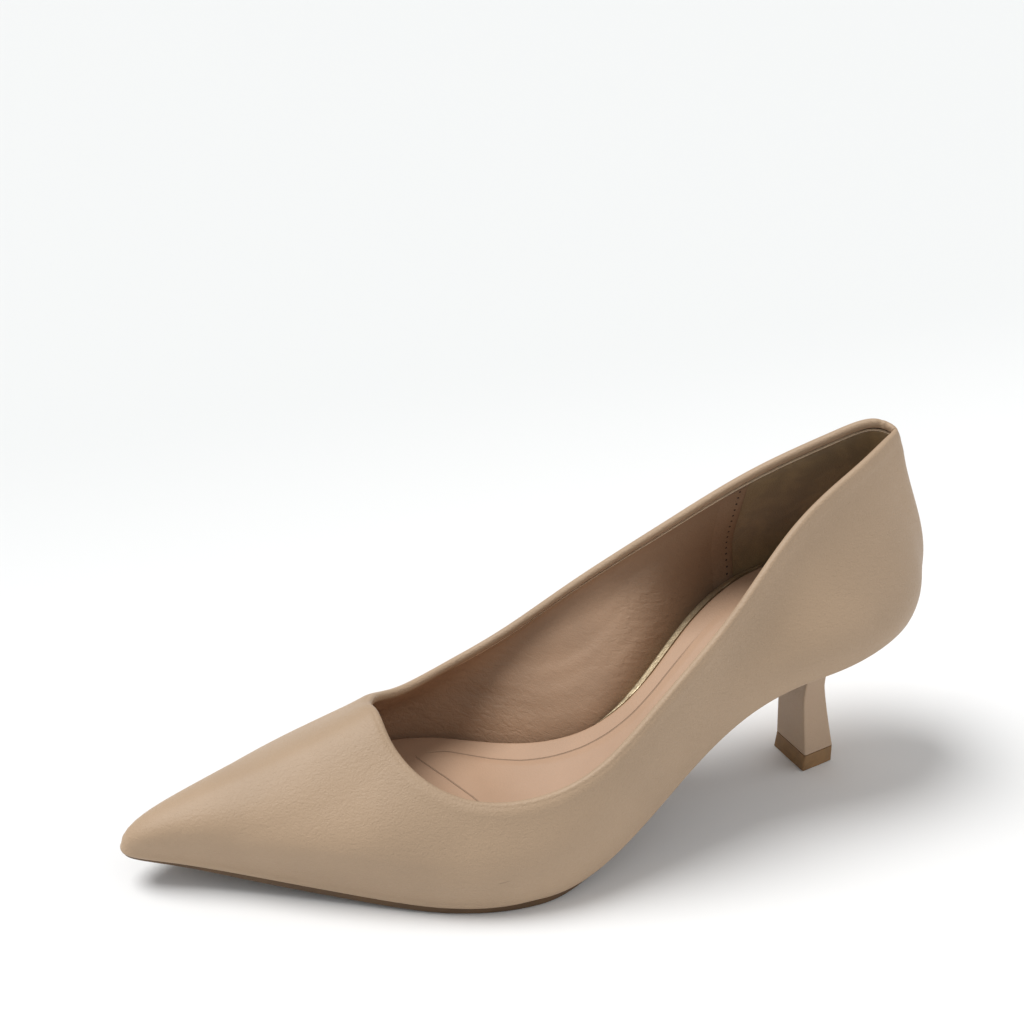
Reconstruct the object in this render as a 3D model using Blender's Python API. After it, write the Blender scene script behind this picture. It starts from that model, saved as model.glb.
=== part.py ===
"""Kitten heel pump, left shoe, women's EU 37: pointed toe, rolled topline, flared heel.

The shoe stands on the floor at Z = 0 with its toe towards +X and its outer side towards +Y.
Everything is worked out from the sizes below and from three tables of sections that run from
the toe point (row 0) to the middle of the heel back (last row).
"""

import math

import bmesh
import bpy
import numpy as np

# Driving sizes of the last and of the shoe, in metres
LENGTH = 0.248            # heel back to toe point, in plan
BALL_WIDTH = 0.078        # across the upper at the ball
SEAT_WIDTH = 0.055        # across the upper at the heel seat
HEEL_HEIGHT = 0.0542      # floor to the seat's underside, at the heel back
TOE_SPRING = 0.0086       # floor to the sole's underside, at the toe point
BACK_HEIGHT = 0.0525      # feather line to topline, at the heel back
THROAT_FROM_TOE = 0.0738  # toe point to the front of the throat, in plan
BACK_SET = 0.0120         # how far the topline leans in over the heel back

# Thicknesses and radii
WALL = 0.0018             # upper leather with its lining
ROLL = 0.0030             # thickness of the rolled topline
ROLL_DEPTH = 0.0042       # how far the roll reaches down inside
ROLL_STEP = 0.0006        # length of the step from roll to lining
FEATHER_RADIUS = 0.0032   # where the wall turns under
MARGIN_WIDTH = 0.0095     # lasting margin under the insole
MARGIN_SHARE = 0.42       # most of the way to the middle line that the margin takes
AXIS_INSET_HEEL = 0.025   # heel back to the rear end of the sole's middle line
AXIS_INSET_TOE = 0.040    # toe point to the front end of the sole's middle line
SOLE_THICKNESS = 0.0024
SOLE_BEVEL = 0.0007       # bevel of the outsole's lower edge
SOLE_INSET = 0.0042       # outsole's edge inside the feather line, at the waist
LAST_STRIP = 0.0020       # shortest strip of the outsole at the heel's breast
INSOLE_THICKNESS = 0.0018
SOCK_THICKNESS = 0.0022
SOCK_HOLLOW = 0.0006      # how far the sock dips in the middle
EDGE_INSET = 0.0006       # edge of the insole and of the sock to the lining
GAP = 0.0003              # between pieces that lie on each other

# The forefoot's flat spot and the heel seat, as lengths from the heel back
FLAT_FROM = 0.140
FLAT_TO = 0.166
SEAT_LENGTH = 0.046
SEAT_PITCH = math.radians(10.5)
SHANK_PITCH = math.radians(37.0)
SHANK_DROP = 0.555        # share of the seat's front height lost halfway down the shank
SPRING_CURVE = 1.35       # how late the toe rises

# The heel
HEEL_FRONT = 0.0395       # heel back to the front of the heel's foot
HEEL_OFFSET = 0.0045      # the foot's middle, towards the outer side
HEEL_TURN = math.radians(7.4)   # the heel's column, turned in plan towards the outer side
FOOT_LENGTH = 0.0114
FOOT_WIDTH = 0.0148
FOOT_TAPER = 0.0006       # how much narrower the foot is behind
NECK_LENGTH = 0.0086
NECK_WIDTH = 0.0128
NECK_HEIGHT = 0.030       # floor to the heel's narrowest point
NECK_SET = 0.0024         # the narrowest point, forward of the foot
NECK_ROUNDING = 1.6       # the neck's corners and taper, as a multiple of the foot's
HEEL_FLARE = 3.0          # how late the heel flares out towards the seat
HEEL_INSET = 0.0030       # heel's top edge inside the feather line
BREAST = 0.047            # heel back to the front edge of the heel's top
LIFT_THICKNESS = 0.0058
LIFT_SPLAY = 0.0003
CORNER = 0.0011           # rounding of the foot's corners

# How finely the curves are drawn
PER_ROW = 3               # steps from one table row to the next
TOE_STEPS = 6             # steps from the toe point to where the insole and the sock begin
WALL_STEPS = 9
WALL_CROWDING = 1.15      # how much closer the steps lie near the feather line
FINE_STEPS = 60           # along a profile before it is divided evenly
CORNER_STEPS = 4
ROLL_STEPS = 6
ACROSS_STEPS = 6
HEEL_STEPS = 14
SIDE_STEPS = 4            # along each side of the heel's plan
BEND_STEPS = 4            # round each corner of the heel's plan

# Feather line: along is a share of LENGTH from the heel back; outer and inner are shares of the
# width named in follows; round is a share of FEATHER_RADIUS, inset a share of SOLE_INSET.
SOLE_ROWS = (
    # along, outer, inner, round, inset, follows
    (1.000, -0.118, -0.118, 0.58, 0.15, "ball"),
    (0.988, -0.066, -0.168, 0.60, 0.15, "ball"),
    (0.938, 0.005, -0.230, 0.78, 0.15, "ball"),
    (0.861, 0.133, -0.333, 0.95, 0.15, "ball"),
    (0.760, 0.315, -0.435, 1.00, 0.15, "ball"),
    (0.652, 0.490, -0.488, 1.00, 0.20, "ball"),
    (0.539, 0.546, -0.362, 1.00, 0.50, "ball"),
    (0.420, 0.450, -0.100, 1.00, 1.00, "ball"),
    (0.290, 0.515, -0.335, 1.00, 1.00, "seat"),
    (0.162, 0.535, -0.487, 1.00, 1.00, "seat"),
    (0.059, 0.382, -0.391, 1.00, 1.00, "seat"),
    (0.019, 0.155, -0.205, 1.00, 1.00, "seat"),
    (0.000, 0.000, 0.000, 1.00, 1.00, "seat"),
)

# Topline: along is a share of the way from the heel back to the throat; the rises are shares of
# BACK_HEIGHT above the feather line. The outer side is lower, under the ankle bone.
TOPLINE_ROWS = (
    # along, outer, inner, outer_rise, inner_rise, follows
    (1.008, -0.034, -0.034, 0.765, 0.765, "ball"),
    (1.007, 0.048, -0.108, 0.730, 0.742, "ball"),
    (0.998, 0.140, -0.184, 0.662, 0.684, "ball"),
    (0.970, 0.262, -0.276, 0.592, 0.626, "ball"),
    (0.905, 0.382, -0.365, 0.523, 0.540, "ball"),
    (0.806, 0.464, -0.433, 0.530, 0.562, "ball"),
    (0.682, 0.484, -0.454, 0.594, 0.632, "ball"),
    (0.546, 0.425, -0.405, 0.668, 0.704, "ball"),
    (0.393, 0.452, -0.455, 0.672, 0.725, "seat"),
    (0.247, 0.270, -0.329, 0.812, 0.840, "seat"),
    (0.111, 0.150, -0.220, 0.945, 0.985, "seat"),
    (0.030, 0.062, -0.150, 1.000, 1.035, "seat"),
    (0.000, -0.015, -0.015, 1.012, 1.012, "seat"),
)

# Wall: each profile is one cubic curve from the feather line to the topline. lift and draw are
# the lengths of its two handles, as shares of the straight distance; lean and slope are their
# angles from the vertical, in degrees, outwards.
WALL_ROWS = (
    # lift, lean, draw, slope
    (0.135, 0, 0.480, 66),
    (0.145, 4, 0.490, 64),
    (0.165, 5, 0.500, 60),
    (0.215, 8, 0.505, 50),
    (0.280, 12, 0.515, 38),
    (0.376, 15, 0.485, 25),
    (0.350, 12, 0.380, 14),
    (0.320, 10, 0.355, 8),
    (0.400, 15, 0.460, 5),
    (0.385, 17, 0.430, 3),
    (0.332, 19, 0.365, 4),
    (0.328, 19, 0.335, 5),
    (0.330, 16, 0.350, 7),
)

COLOURS = {
    # piece: (base colour, roughness, metallic)
    "upper": ((0.60, 0.44, 0.31), 0.55, 0.0),
    "outsole": ((0.16, 0.10, 0.055), 0.6, 0.0),
    "insole": ((0.62, 0.50, 0.30), 0.4, 0.6),
    "sock": ((0.52, 0.35, 0.24), 0.6, 0.0),
    "heel": ((0.52, 0.38, 0.28), 0.5, 0.0),
    "top_lift": ((0.14, 0.08, 0.04), 0.5, 0.0),
}


def clear_scene():
    for obj in list(bpy.data.objects):
        bpy.data.objects.remove(obj, do_unlink=True)


def material(name):
    colour, roughness, metallic = COLOURS[name]
    made = bpy.data.materials.new(name)
    made.use_nodes = True
    shader = made.node_tree.nodes["Principled BSDF"]
    shader.inputs["Base Color"].default_value = (*colour, 1.0)
    shader.inputs["Roughness"].default_value = roughness
    shader.inputs["Metallic"].default_value = metallic
    return made


def closed_spline(points, per_row):
    """A smooth closed curve through points, with per_row samples from each point to the next."""
    points = np.asarray(points, float)
    count = len(points)
    system = 4.0 * np.eye(count) + np.roll(np.eye(count), 1, 0) + np.roll(np.eye(count), -1, 0)
    slopes = np.linalg.solve(system, 3.0 * (np.roll(points, -1, 0) - np.roll(points, 1, 0)))
    after, slopes_after = np.roll(points, -1, 0), np.roll(slopes, -1, 0)
    samples = []
    for step in range(per_row):
        s = step / per_row
        samples.append(
            (2 * s**3 - 3 * s**2 + 1) * points
            + (s**3 - 2 * s**2 + s) * slopes
            + (3 * s**2 - 2 * s**3) * after
            + (s**3 - s**2) * slopes_after
        )
    return np.stack(samples, 1).reshape(count * per_row, -1)


def loop_of(outer_rows, inner_rows):
    """Rows from toe to heel on the outer side, then back to the toe on the inner side."""
    return np.concatenate([outer_rows, inner_rows[-2:0:-1]])


def width_of(follows):
    return {"ball": BALL_WIDTH, "seat": SEAT_WIDTH}[follows]


def hermite(x, x0, z0, slope0, x1, z1, slope1):
    """The cubic from (x0, z0) to (x1, z1) with those slopes."""
    run = x1 - x0
    s = (x - x0) / run
    return (
        (2 * s**3 - 3 * s**2 + 1) * z0
        + (s**3 - 2 * s**2 + s) * run * slope0
        + (3 * s**2 - 2 * s**3) * z1
        + (s**3 - s**2) * run * slope1
    )


def underside(x):
    """Height of the sole's underside along the shoe: seat, shank, flat tread and toe spring."""
    x = np.asarray(x, float)
    seat_drop = math.tan(SEAT_PITCH)
    seat_front = HEEL_HEIGHT - seat_drop * SEAT_LENGTH
    middle = 0.5 * (SEAT_LENGTH + FLAT_FROM)
    middle_height = (1.0 - SHANK_DROP) * seat_front
    seat = HEEL_HEIGHT - seat_drop * x
    shank = hermite(
        x, SEAT_LENGTH, seat_front, -seat_drop, middle, middle_height, -math.tan(SHANK_PITCH)
    )
    arch = hermite(x, middle, middle_height, -math.tan(SHANK_PITCH), FLAT_FROM, 0.0, 0.0)
    spring = TOE_SPRING * np.clip((x - FLAT_TO) / (LENGTH - FLAT_TO), 0.0, None) ** SPRING_CURVE
    return np.select(
        [x < SEAT_LENGTH, x < middle, x < FLAT_FROM, x < FLAT_TO], [seat, shank, arch, 0.0], spring
    )


def seat_slope(x):
    """Slope of the sole along the shoe."""
    step = 0.0001
    return (underside(x + step) - underside(x - step)) / (2 * step)


def seat_level(x, rise=0.0):
    """Height of the upper's underside, or of a layer that lies square to it, rise further up."""
    x = np.asarray(x, float)
    return underside(x) + (SOLE_THICKNESS + rise) * np.sqrt(1.0 + seat_slope(x) ** 2)


def outward_in_plan(points):
    """Level unit vectors that point out of a closed curve that runs outer side first."""
    along = np.roll(points[:, :2], -1, 0) - np.roll(points[:, :2], 1, 0)
    out = np.column_stack([along[:, 1], -along[:, 0], np.zeros(len(points))])
    return out / np.linalg.norm(out, axis=1)[:, None]


def around(values):
    """One table column, the same on both sides, as a smooth value for each place round the shoe."""
    column = np.array(values, float)[:, None]
    return closed_spline(loop_of(column, column), PER_ROW)[:, 0]


def sole_edge():
    """The closed line of the upper's edge in plan, its outward directions, leans and radii."""
    outer = [(along * LENGTH, y * width_of(f)) for along, y, _, _, _, f in SOLE_ROWS]
    inner = [(along * LENGTH, y * width_of(f)) for along, _, y, _, _, f in SOLE_ROWS]
    plan = closed_spline(loop_of(np.array(outer), np.array(inner)), PER_ROW)
    lean = np.radians(around([row[1] for row in WALL_ROWS]))
    radius = FEATHER_RADIUS * around([row[3] for row in SOLE_ROWS])
    return plan, outward_in_plan(plan), lean, radius


def corner():
    """The round where the wall turns under: centres, outward and downward directions, radii."""
    plan, out, lean, radius = sole_edge()
    centres = np.column_stack([plan, np.zeros(len(plan))]) - (radius * np.cos(lean))[:, None] * out
    centres[:, 2] = seat_level(centres[:, 0], radius)
    slope = seat_slope(centres[:, 0])
    down = np.column_stack([slope, np.zeros(len(slope)), -np.ones(len(slope))])
    down /= np.linalg.norm(down, axis=1)[:, None]
    return centres, out, down, radius


def turned(turn):
    """The corner's points at the angle turn below the outward direction."""
    centres, out, down, radius = corner()
    return centres + (radius * np.cos(turn))[:, None] * out + (radius * np.sin(turn))[:, None] * down


def feather_line():
    """The closed line where the wall starts: its points, outward directions and lean angles."""
    _, out, lean, _ = sole_edge()
    return turned(lean), out, lean


def topline():
    """The closed line at the top of the wall, and its outward directions."""
    throat = LENGTH - THROAT_FROM_TOE
    rows = []
    for along, outer, inner, outer_rise, inner_rise, follows in TOPLINE_ROWS:
        x = BACK_SET + along * (throat - BACK_SET)
        y = np.array([outer, inner]) * width_of(follows)
        z = float(seat_level(x)) + FEATHER_RADIUS + np.array([outer_rise, inner_rise]) * BACK_HEIGHT
        rows.append(((x, y[0], z[0]), (x, y[1], z[1])))
    rows = np.array(rows)
    points = closed_spline(loop_of(rows[:, 0], rows[:, 1]), PER_ROW)
    return points, outward_in_plan(points)


def wall_curves(steps):
    """For each place round the shoe, `steps` points of the wall's profile and its length."""
    feather, feather_out, lean = feather_line()
    top, top_out = topline()
    chord = np.linalg.norm(top - feather, axis=1)
    lift = chord * around([row[0] for row in WALL_ROWS])
    draw = chord * around([row[2] for row in WALL_ROWS])
    slope = np.radians(around([row[3] for row in WALL_ROWS]))
    up = np.array([0.0, 0.0, 1.0])
    first = feather + lift[:, None] * (np.sin(lean)[:, None] * feather_out + np.outer(np.cos(lean), up))
    second = top + draw[:, None] * (np.sin(slope)[:, None] * top_out - np.outer(np.cos(slope), up))
    s = np.linspace(0.0, 1.0, steps)[None, :, None]
    return (
        (1 - s) ** 3 * feather[:, None]
        + 3 * s * (1 - s) ** 2 * first[:, None]
        + 3 * s**2 * (1 - s) * second[:, None]
        + s**3 * top[:, None]
    )


def at_lengths(curves, lengths_for):
    """Points of each curve at the lengths that lengths_for gives for its whole length."""
    sampled = []
    for curve in curves:
        pieces = np.linalg.norm(np.diff(curve, axis=0), axis=1)
        travelled = np.concatenate([[0.0], np.cumsum(pieces)])
        wanted = lengths_for(travelled[-1])
        sampled.append([np.interp(wanted, travelled, curve[:, axis]) for axis in range(3)])
    return np.array(sampled).transpose(0, 2, 1)


def towards_axis(points):
    """Level vectors from each place towards the shoe's own middle line."""
    run = LENGTH - AXIS_INSET_HEEL - AXIS_INSET_TOE
    middle_x = AXIS_INSET_HEEL + points[:, 0] / LENGTH * run
    outer_y = points[:, 1]
    inner_y = np.roll(points[::-1, 1], 1)
    middle_y = 0.5 * (outer_y + inner_y)
    return np.column_stack([middle_x - points[:, 0], middle_y - points[:, 1], np.zeros(len(points))])


def outer_surface():
    """The upper's outside from the margin's inner edge, under and round the corner, to the topline."""
    centres = corner()[0]
    lean = sole_edge()[2]
    inward = towards_axis(centres)
    reach = np.linalg.norm(inward, axis=1)
    width = np.minimum(MARGIN_WIDTH, MARGIN_SHARE * reach)
    inward = inward / reach[:, None]
    under = turned(np.full(len(lean), math.pi / 2))
    columns = []
    for share in (1.0, 0.5):
        spot = under + (width * share)[:, None] * inward
        spot[:, 2] = seat_level(spot[:, 0])
        columns.append(spot)
    for step in range(CORNER_STEPS):
        columns.append(turned(math.pi / 2 + (lean - math.pi / 2) * (step / CORNER_STEPS)))
    below_roll = ROLL_DEPTH + ROLL_STEP
    shares = np.linspace(0.0, 1.0, WALL_STEPS) ** WALL_CROWDING

    def lengths(whole):
        lower = shares * (whole - below_roll)
        return np.concatenate([lower, [whole - ROLL_DEPTH, whole - 0.5 * ROLL_DEPTH, whole]])

    wall = at_lengths(wall_curves(FINE_STEPS), lengths)
    return np.concatenate([np.stack(columns, 1), wall], 1)


def surface_normals(grid):
    """Unit normals of a grid that is closed in its first direction, pointing out of the shoe."""
    round_shoe = np.roll(grid, -1, 0) - np.roll(grid, 1, 0)
    up_wall = np.gradient(grid, axis=1)
    normals = np.cross(round_shoe, up_wall)
    return normals / np.linalg.norm(normals, axis=2)[:, :, None]


def upper_sections():
    """Closed sections round the shoe: outside, rolled edge, then inside, back to the margin."""
    outside = outer_surface()
    normals = surface_normals(outside)
    thickness = np.full(outside.shape[1], WALL)
    thickness[-3:] = ROLL
    inside = outside - normals * thickness[None, :, None]
    top, normal = outside[:, -1], normals[:, -1]
    rise = outside[:, -1] - outside[:, -2]
    rise -= (rise * normal).sum(1)[:, None] * normal
    rise /= np.linalg.norm(rise, axis=1)[:, None]
    roll = []
    for step in range(1, ROLL_STEPS):
        turn = math.pi * step / ROLL_STEPS
        roll.append(
            top - 0.5 * ROLL * normal
            + 0.5 * ROLL * (math.cos(turn) * normal + math.sin(turn) * rise)
        )
    return np.concatenate([outside, np.stack(roll, 1), inside[:, ::-1]], 1)


def new_object(name, vertices, faces):
    mesh = bpy.data.meshes.new(name)
    mesh.from_pydata([tuple(map(float, v)) for v in vertices], [], faces)
    work = bmesh.new()
    work.from_mesh(mesh)
    bmesh.ops.remove_doubles(work, verts=work.verts, dist=1e-7)
    bmesh.ops.recalc_face_normals(work, faces=work.faces)
    if work.calc_volume(signed=True) < 0.0:
        bmesh.ops.reverse_faces(work, faces=work.faces)
    work.to_mesh(mesh)
    work.free()
    mesh.shade_smooth()
    mesh.set_sharp_from_angle(angle=math.radians(40))
    mesh.materials.append(material(name))
    obj = bpy.data.objects.new(name, mesh)
    bpy.context.scene.collection.objects.link(obj)
    return obj


def skin_rings(rings, joined_ends):
    """Quads between neighbouring closed rings; the last ring joins the first, or both stay open."""
    count, size = len(rings), len(rings[0])
    vertices = [v for ring in rings for v in ring]
    faces = []
    for r in range(count if joined_ends else count - 1):
        for p in range(size):
            a, b = r * size + p, r * size + (p + 1) % size
            c, d = ((r + 1) % count) * size + (p + 1) % size, ((r + 1) % count) * size + p
            faces.append((a, b, c, d))
    return vertices, faces


def make_upper():
    vertices, faces = skin_rings(upper_sections(), joined_ends=True)
    return new_object("upper", vertices, faces)


def blunted(outline):
    """The outline without its narrow toe, closed by a point in the middle of the cut."""
    front = 0.5 * (outline[TOE_STEPS] + outline[-TOE_STEPS])
    return np.concatenate([[front], outline[TOE_STEPS + 1 : len(outline) - TOE_STEPS]])


def plate(name, lower, upper, crown=lambda share: 0.0):
    """A curved plate between two closed outlines that run toe, outer side, heel, inner side.

    It ends short of the toe point, where the upper is too narrow for it. Straight strips cross
    it from the outer to the inner side, and crown gives the lift at each share of the way.
    """
    lower, upper = blunted(lower), blunted(upper)
    half = len(lower) // 2
    vertices, index = [], {}

    def across(outline, lift, tag):
        for row in range(half + 1):
            start, end = outline[row], outline[-row]
            steps = 0 if row in (0, half) else ACROSS_STEPS
            for step in range(steps + 1):
                share = step / steps if steps else 0.0
                spot = (1 - share) * start + share * end
                spot = spot + np.array([0.0, 0.0, lift(share)])
                index[tag, row, step] = len(vertices)
                vertices.append(spot)

    across(lower, lambda share: 0.0, "low")
    across(upper, crown, "high")
    faces = []
    for tag in ("low", "high"):
        for row in range(half):
            first = row == 0
            last = row + 1 == half
            for step in range(ACROSS_STEPS):
                a = index[tag, row, 0 if first else step]
                b = index[tag, row, 0 if first else step + 1]
                c = index[tag, row + 1, 0 if last else step + 1]
                d = index[tag, row + 1, 0 if last else step]
                faces.append(tuple(dict.fromkeys((a, b, c, d))))
    for row in range(half):
        for side in (0, ACROSS_STEPS):
            here = 0 if row == 0 else side
            there = 0 if row + 1 == half else side
            faces.append(
                (
                    index["low", row, here],
                    index["low", row + 1, there],
                    index["high", row + 1, there],
                    index["high", row, here],
                )
            )
    return new_object(name, vertices, faces)


def make_insole():
    """The insole board, which lies on the lasting margin inside the wall."""
    centres, out, _, radius = corner()
    lower = centres - EDGE_INSET * out
    upper = centres + (radius - WALL - EDGE_INSET)[:, None] * out
    lower[:, 2] = seat_level(lower[:, 0], WALL + GAP)
    upper[:, 2] = seat_level(upper[:, 0], WALL + GAP + INSOLE_THICKNESS)
    return plate("insole", lower, upper)


def make_sock():
    """The padded sock on the insole board, slightly hollowed for the foot."""
    centres, out, _, radius = corner()
    edge = centres + (radius - WALL - EDGE_INSET)[:, None] * out
    lower, upper = edge.copy(), edge.copy()
    floor = WALL + GAP + INSOLE_THICKNESS + GAP
    lower[:, 2] = seat_level(lower[:, 0], floor)
    upper[:, 2] = seat_level(upper[:, 0], floor + SOCK_THICKNESS)

    def crown(share):
        return -SOCK_HOLLOW * math.sin(math.pi * share) ** 2

    return plate("sock", lower, upper, crown)


def make_outsole():
    """The outsole under the forefoot and the waist, up to the heel's breast."""
    feather, out, _ = feather_line()
    inset = SOLE_INSET * around([row[4] for row in SOLE_ROWS])
    edge = feather - inset[:, None] * out
    breast = BREAST + GAP
    half = len(edge) // 2
    outer = [p for p in edge[: half + 1] if p[0] > breast + LAST_STRIP]
    inner = [p for p in np.roll(edge[::-1], 1, 0)[: half + 1] if p[0] > breast + LAST_STRIP]
    rows = min(len(outer), len(inner))
    outer, inner = outer[:rows], inner[:rows]
    for side in (outer, inner):
        side.append(np.array([breast, side[-1][1], 0.0]))

    def spot(point, depth):
        return np.array([point[0], point[1], float(seat_level(point[0], -depth))])

    sections = []
    for start, end in zip(outer[1:], inner[1:]):
        bevel = SOLE_BEVEL / np.linalg.norm(end[:2] - start[:2])
        middle = [step / ACROSS_STEPS for step in range(1, ACROSS_STEPS)]
        ring = [(0.0, GAP), (0.0, SOLE_THICKNESS - SOLE_BEVEL), (bevel, SOLE_THICKNESS)]
        ring += [(share, SOLE_THICKNESS) for share in middle]
        ring += [(1.0 - bevel, SOLE_THICKNESS), (1.0, SOLE_THICKNESS - SOLE_BEVEL), (1.0, GAP)]
        ring += [(share, GAP) for share in middle[::-1]]
        sections.append([spot((1 - s) * start + s * end, depth) for s, depth in ring])
    vertices, faces = skin_rings(sections, joined_ends=False)
    size = len(sections[0])
    top, bevelled, bottom = len(vertices), len(vertices) + 1, len(vertices) + 2
    tip = outer[0]
    under = tip + np.array([-SOLE_BEVEL, 0.0, 0.0])
    vertices += [
        spot(tip, GAP), spot(tip, SOLE_THICKNESS - SOLE_BEVEL), spot(under, SOLE_THICKNESS)
    ]
    far = ACROSS_STEPS + 4
    faces += [(bottom, k, k + 1) for k in range(2, far - 2)]
    faces += [(top, k, (k + 1) % size) for k in range(far, size)]
    faces += [(top, bevelled, 1, 0), (bevelled, bottom, 2, 1)]
    faces += [(bottom, bevelled, far - 1, far - 2), (bevelled, top, far, far - 1)]
    last = (len(sections) - 1) * size
    faces.append(tuple(last + k for k in range(size)))
    return new_object("outsole", vertices, faces)


def bend(start, corner, end, steps):
    """Points of a quadratic curve from start towards end, the end itself left out."""
    start, corner, end = (np.asarray(p, float) for p in (start, corner, end))
    shares = [step / steps for step in range(steps)]
    return [(1 - s) ** 2 * start + 2 * s * (1 - s) * corner + s**2 * end for s in shares]


def straight(start, end, steps):
    """Evenly spaced points from start towards end, the end itself left out."""
    start, end = np.asarray(start, float), np.asarray(end, float)
    return [start + (end - start) * step / steps for step in range(steps)]


def foot_outline(length, width, taper, corner):
    """Plan of the heel's column: a rectangle with rounded corners, from the front middle round.

    It starts at the front on the outer side and runs back, across and forward.
    """
    front, back = HEEL_FRONT, HEEL_FRONT - length
    outer, outer_back = HEEL_OFFSET + 0.5 * width, HEEL_OFFSET + 0.5 * width - taper
    inner, inner_back = HEEL_OFFSET - 0.5 * width, HEEL_OFFSET - 0.5 * width + taper
    c = corner
    path = bend((front, outer - c), (front, outer), (front - c, outer), BEND_STEPS)
    path += straight((front - c, outer), (back + c, outer_back), SIDE_STEPS)
    path += bend((back + c, outer_back), (back, outer_back), (back, outer_back - c), BEND_STEPS)
    path += straight((back, outer_back - c), (back, inner_back + c), SIDE_STEPS)
    path += bend((back, inner_back + c), (back, inner_back), (back + c, inner_back), BEND_STEPS)
    path += straight((back + c, inner_back), (front - c, inner), SIDE_STEPS)
    path += bend((front - c, inner), (front, inner), (front, inner + c), BEND_STEPS)
    path += straight((front, inner + c), (front, outer - c), SIDE_STEPS)
    middle = np.array([HEEL_FRONT - 0.5 * FOOT_LENGTH, HEEL_OFFSET])
    across, along = math.sin(HEEL_TURN), math.cos(HEEL_TURN)
    return middle + (np.array(path) - middle) @ np.array([[along, across], [-across, along]])


def seat_outline():
    """Plan of the heel's top, point for point like foot_outline: the seat, cut off at the breast."""
    feather, out, _ = feather_line()
    edge = (feather - HEEL_INSET * out)[:, :2]
    half = len(edge) // 2
    body = np.array([p for p in edge[half - half // 2 : half + half // 2 + 1] if p[0] < BREAST])
    outer, inner = (BREAST, body[0][1]), (BREAST, body[-1][1])
    c = 2 * CORNER
    body = np.array([(BREAST - c, outer[1]), *body, (BREAST - c, inner[1])])
    pieces = np.linalg.norm(np.diff(body, axis=0), axis=1)
    travelled = np.concatenate([[0.0], np.cumsum(pieces)])
    count = 3 * SIDE_STEPS + 2 * BEND_STEPS
    wanted = np.linspace(0.0, travelled[-1], count + 1)[:-1]
    sides = [np.array([np.interp(w, travelled, body[:, k]) for k in range(2)]) for w in wanted]
    path = bend((BREAST, outer[1] - c), outer, (BREAST - c, outer[1]), BEND_STEPS) + sides
    path += bend((BREAST - c, inner[1]), inner, (BREAST, inner[1] + c), BEND_STEPS)
    path += straight((BREAST, inner[1] + c), (BREAST, outer[1] - c), SIDE_STEPS)
    return np.array(path)


def closed_by_ends(name, rings):
    """A body skinned over closed rings, with a flat face at each end."""
    vertices, faces = skin_rings(rings, joined_ends=False)
    size, last = len(rings[0]), (len(rings) - 1) * len(rings[0])
    faces.append(tuple(range(size)))
    faces.append(tuple(last + k for k in range(size)))
    return new_object(name, vertices, faces)


def make_heel():
    """The covered heel: a slim column that flares out under the seat."""
    foot = foot_outline(FOOT_LENGTH, FOOT_WIDTH, FOOT_TAPER, CORNER)
    neck = foot_outline(NECK_LENGTH, NECK_WIDTH, NECK_ROUNDING * FOOT_TAPER, NECK_ROUNDING * CORNER)
    neck += np.array([NECK_SET, 0.0])
    seat = seat_outline()
    low = LIFT_THICKNESS + GAP
    high = seat_level(seat[:, 0], -GAP)
    rings = []
    for step in range(HEEL_STEPS + 1):
        share = step / HEEL_STEPS
        height = low + share * (high - low)
        middle = (NECK_HEIGHT - low) / (HEEL_HEIGHT - low)
        if share < middle:
            plan = neck + (foot - neck) * ((middle - share) / middle) ** 2
        else:
            plan = neck + (seat - neck) * ((share - middle) / (1.0 - middle)) ** HEEL_FLARE
        rings.append(np.column_stack([plan, height]))
    return closed_by_ends("heel", rings)


def make_top_lift():
    """The top lift under the heel, a little wider at the floor."""
    outline = foot_outline(FOOT_LENGTH, FOOT_WIDTH, FOOT_TAPER, CORNER)
    middle = outline.mean(0)
    reach = np.linalg.norm(outline - middle, axis=1)[:, None]
    splayed = middle + (outline - middle) * (1.0 + LIFT_SPLAY / reach)
    edge = middle + (outline - middle) * (1.0 - LIFT_SPLAY / reach)
    rings = [
        np.column_stack([edge, np.zeros(len(outline))]),
        np.column_stack([splayed, np.full(len(outline), LIFT_SPLAY)]),
        np.column_stack([outline, np.full(len(outline), LIFT_THICKNESS)]),
    ]
    return closed_by_ends("top_lift", rings)


def stand_on_origin():
    """Move every piece so that the origin is the middle of the shoe's bounds, on the floor."""
    corners = [v.co for obj in bpy.context.scene.objects for v in obj.data.vertices]
    middle = [0.5 * (min(c[k] for c in corners) + max(c[k] for c in corners)) for k in range(2)]
    for obj in bpy.context.scene.objects:
        for vertex in obj.data.vertices:
            vertex.co.x -= middle[0]
            vertex.co.y -= middle[1]


def main():
    clear_scene()
    make_upper()
    make_insole()
    make_sock()
    make_outsole()
    make_heel()
    make_top_lift()
    stand_on_origin()


main()
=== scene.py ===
"""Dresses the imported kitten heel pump: leathers, rolled topline, padded sock, seams and studio.

It runs as a script.
"""

import math

import bmesh
import bpy
import numpy as np
from bpy.props import FloatProperty, FloatVectorProperty, IntProperty, PointerProperty
from mathutils import Matrix, Vector


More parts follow.
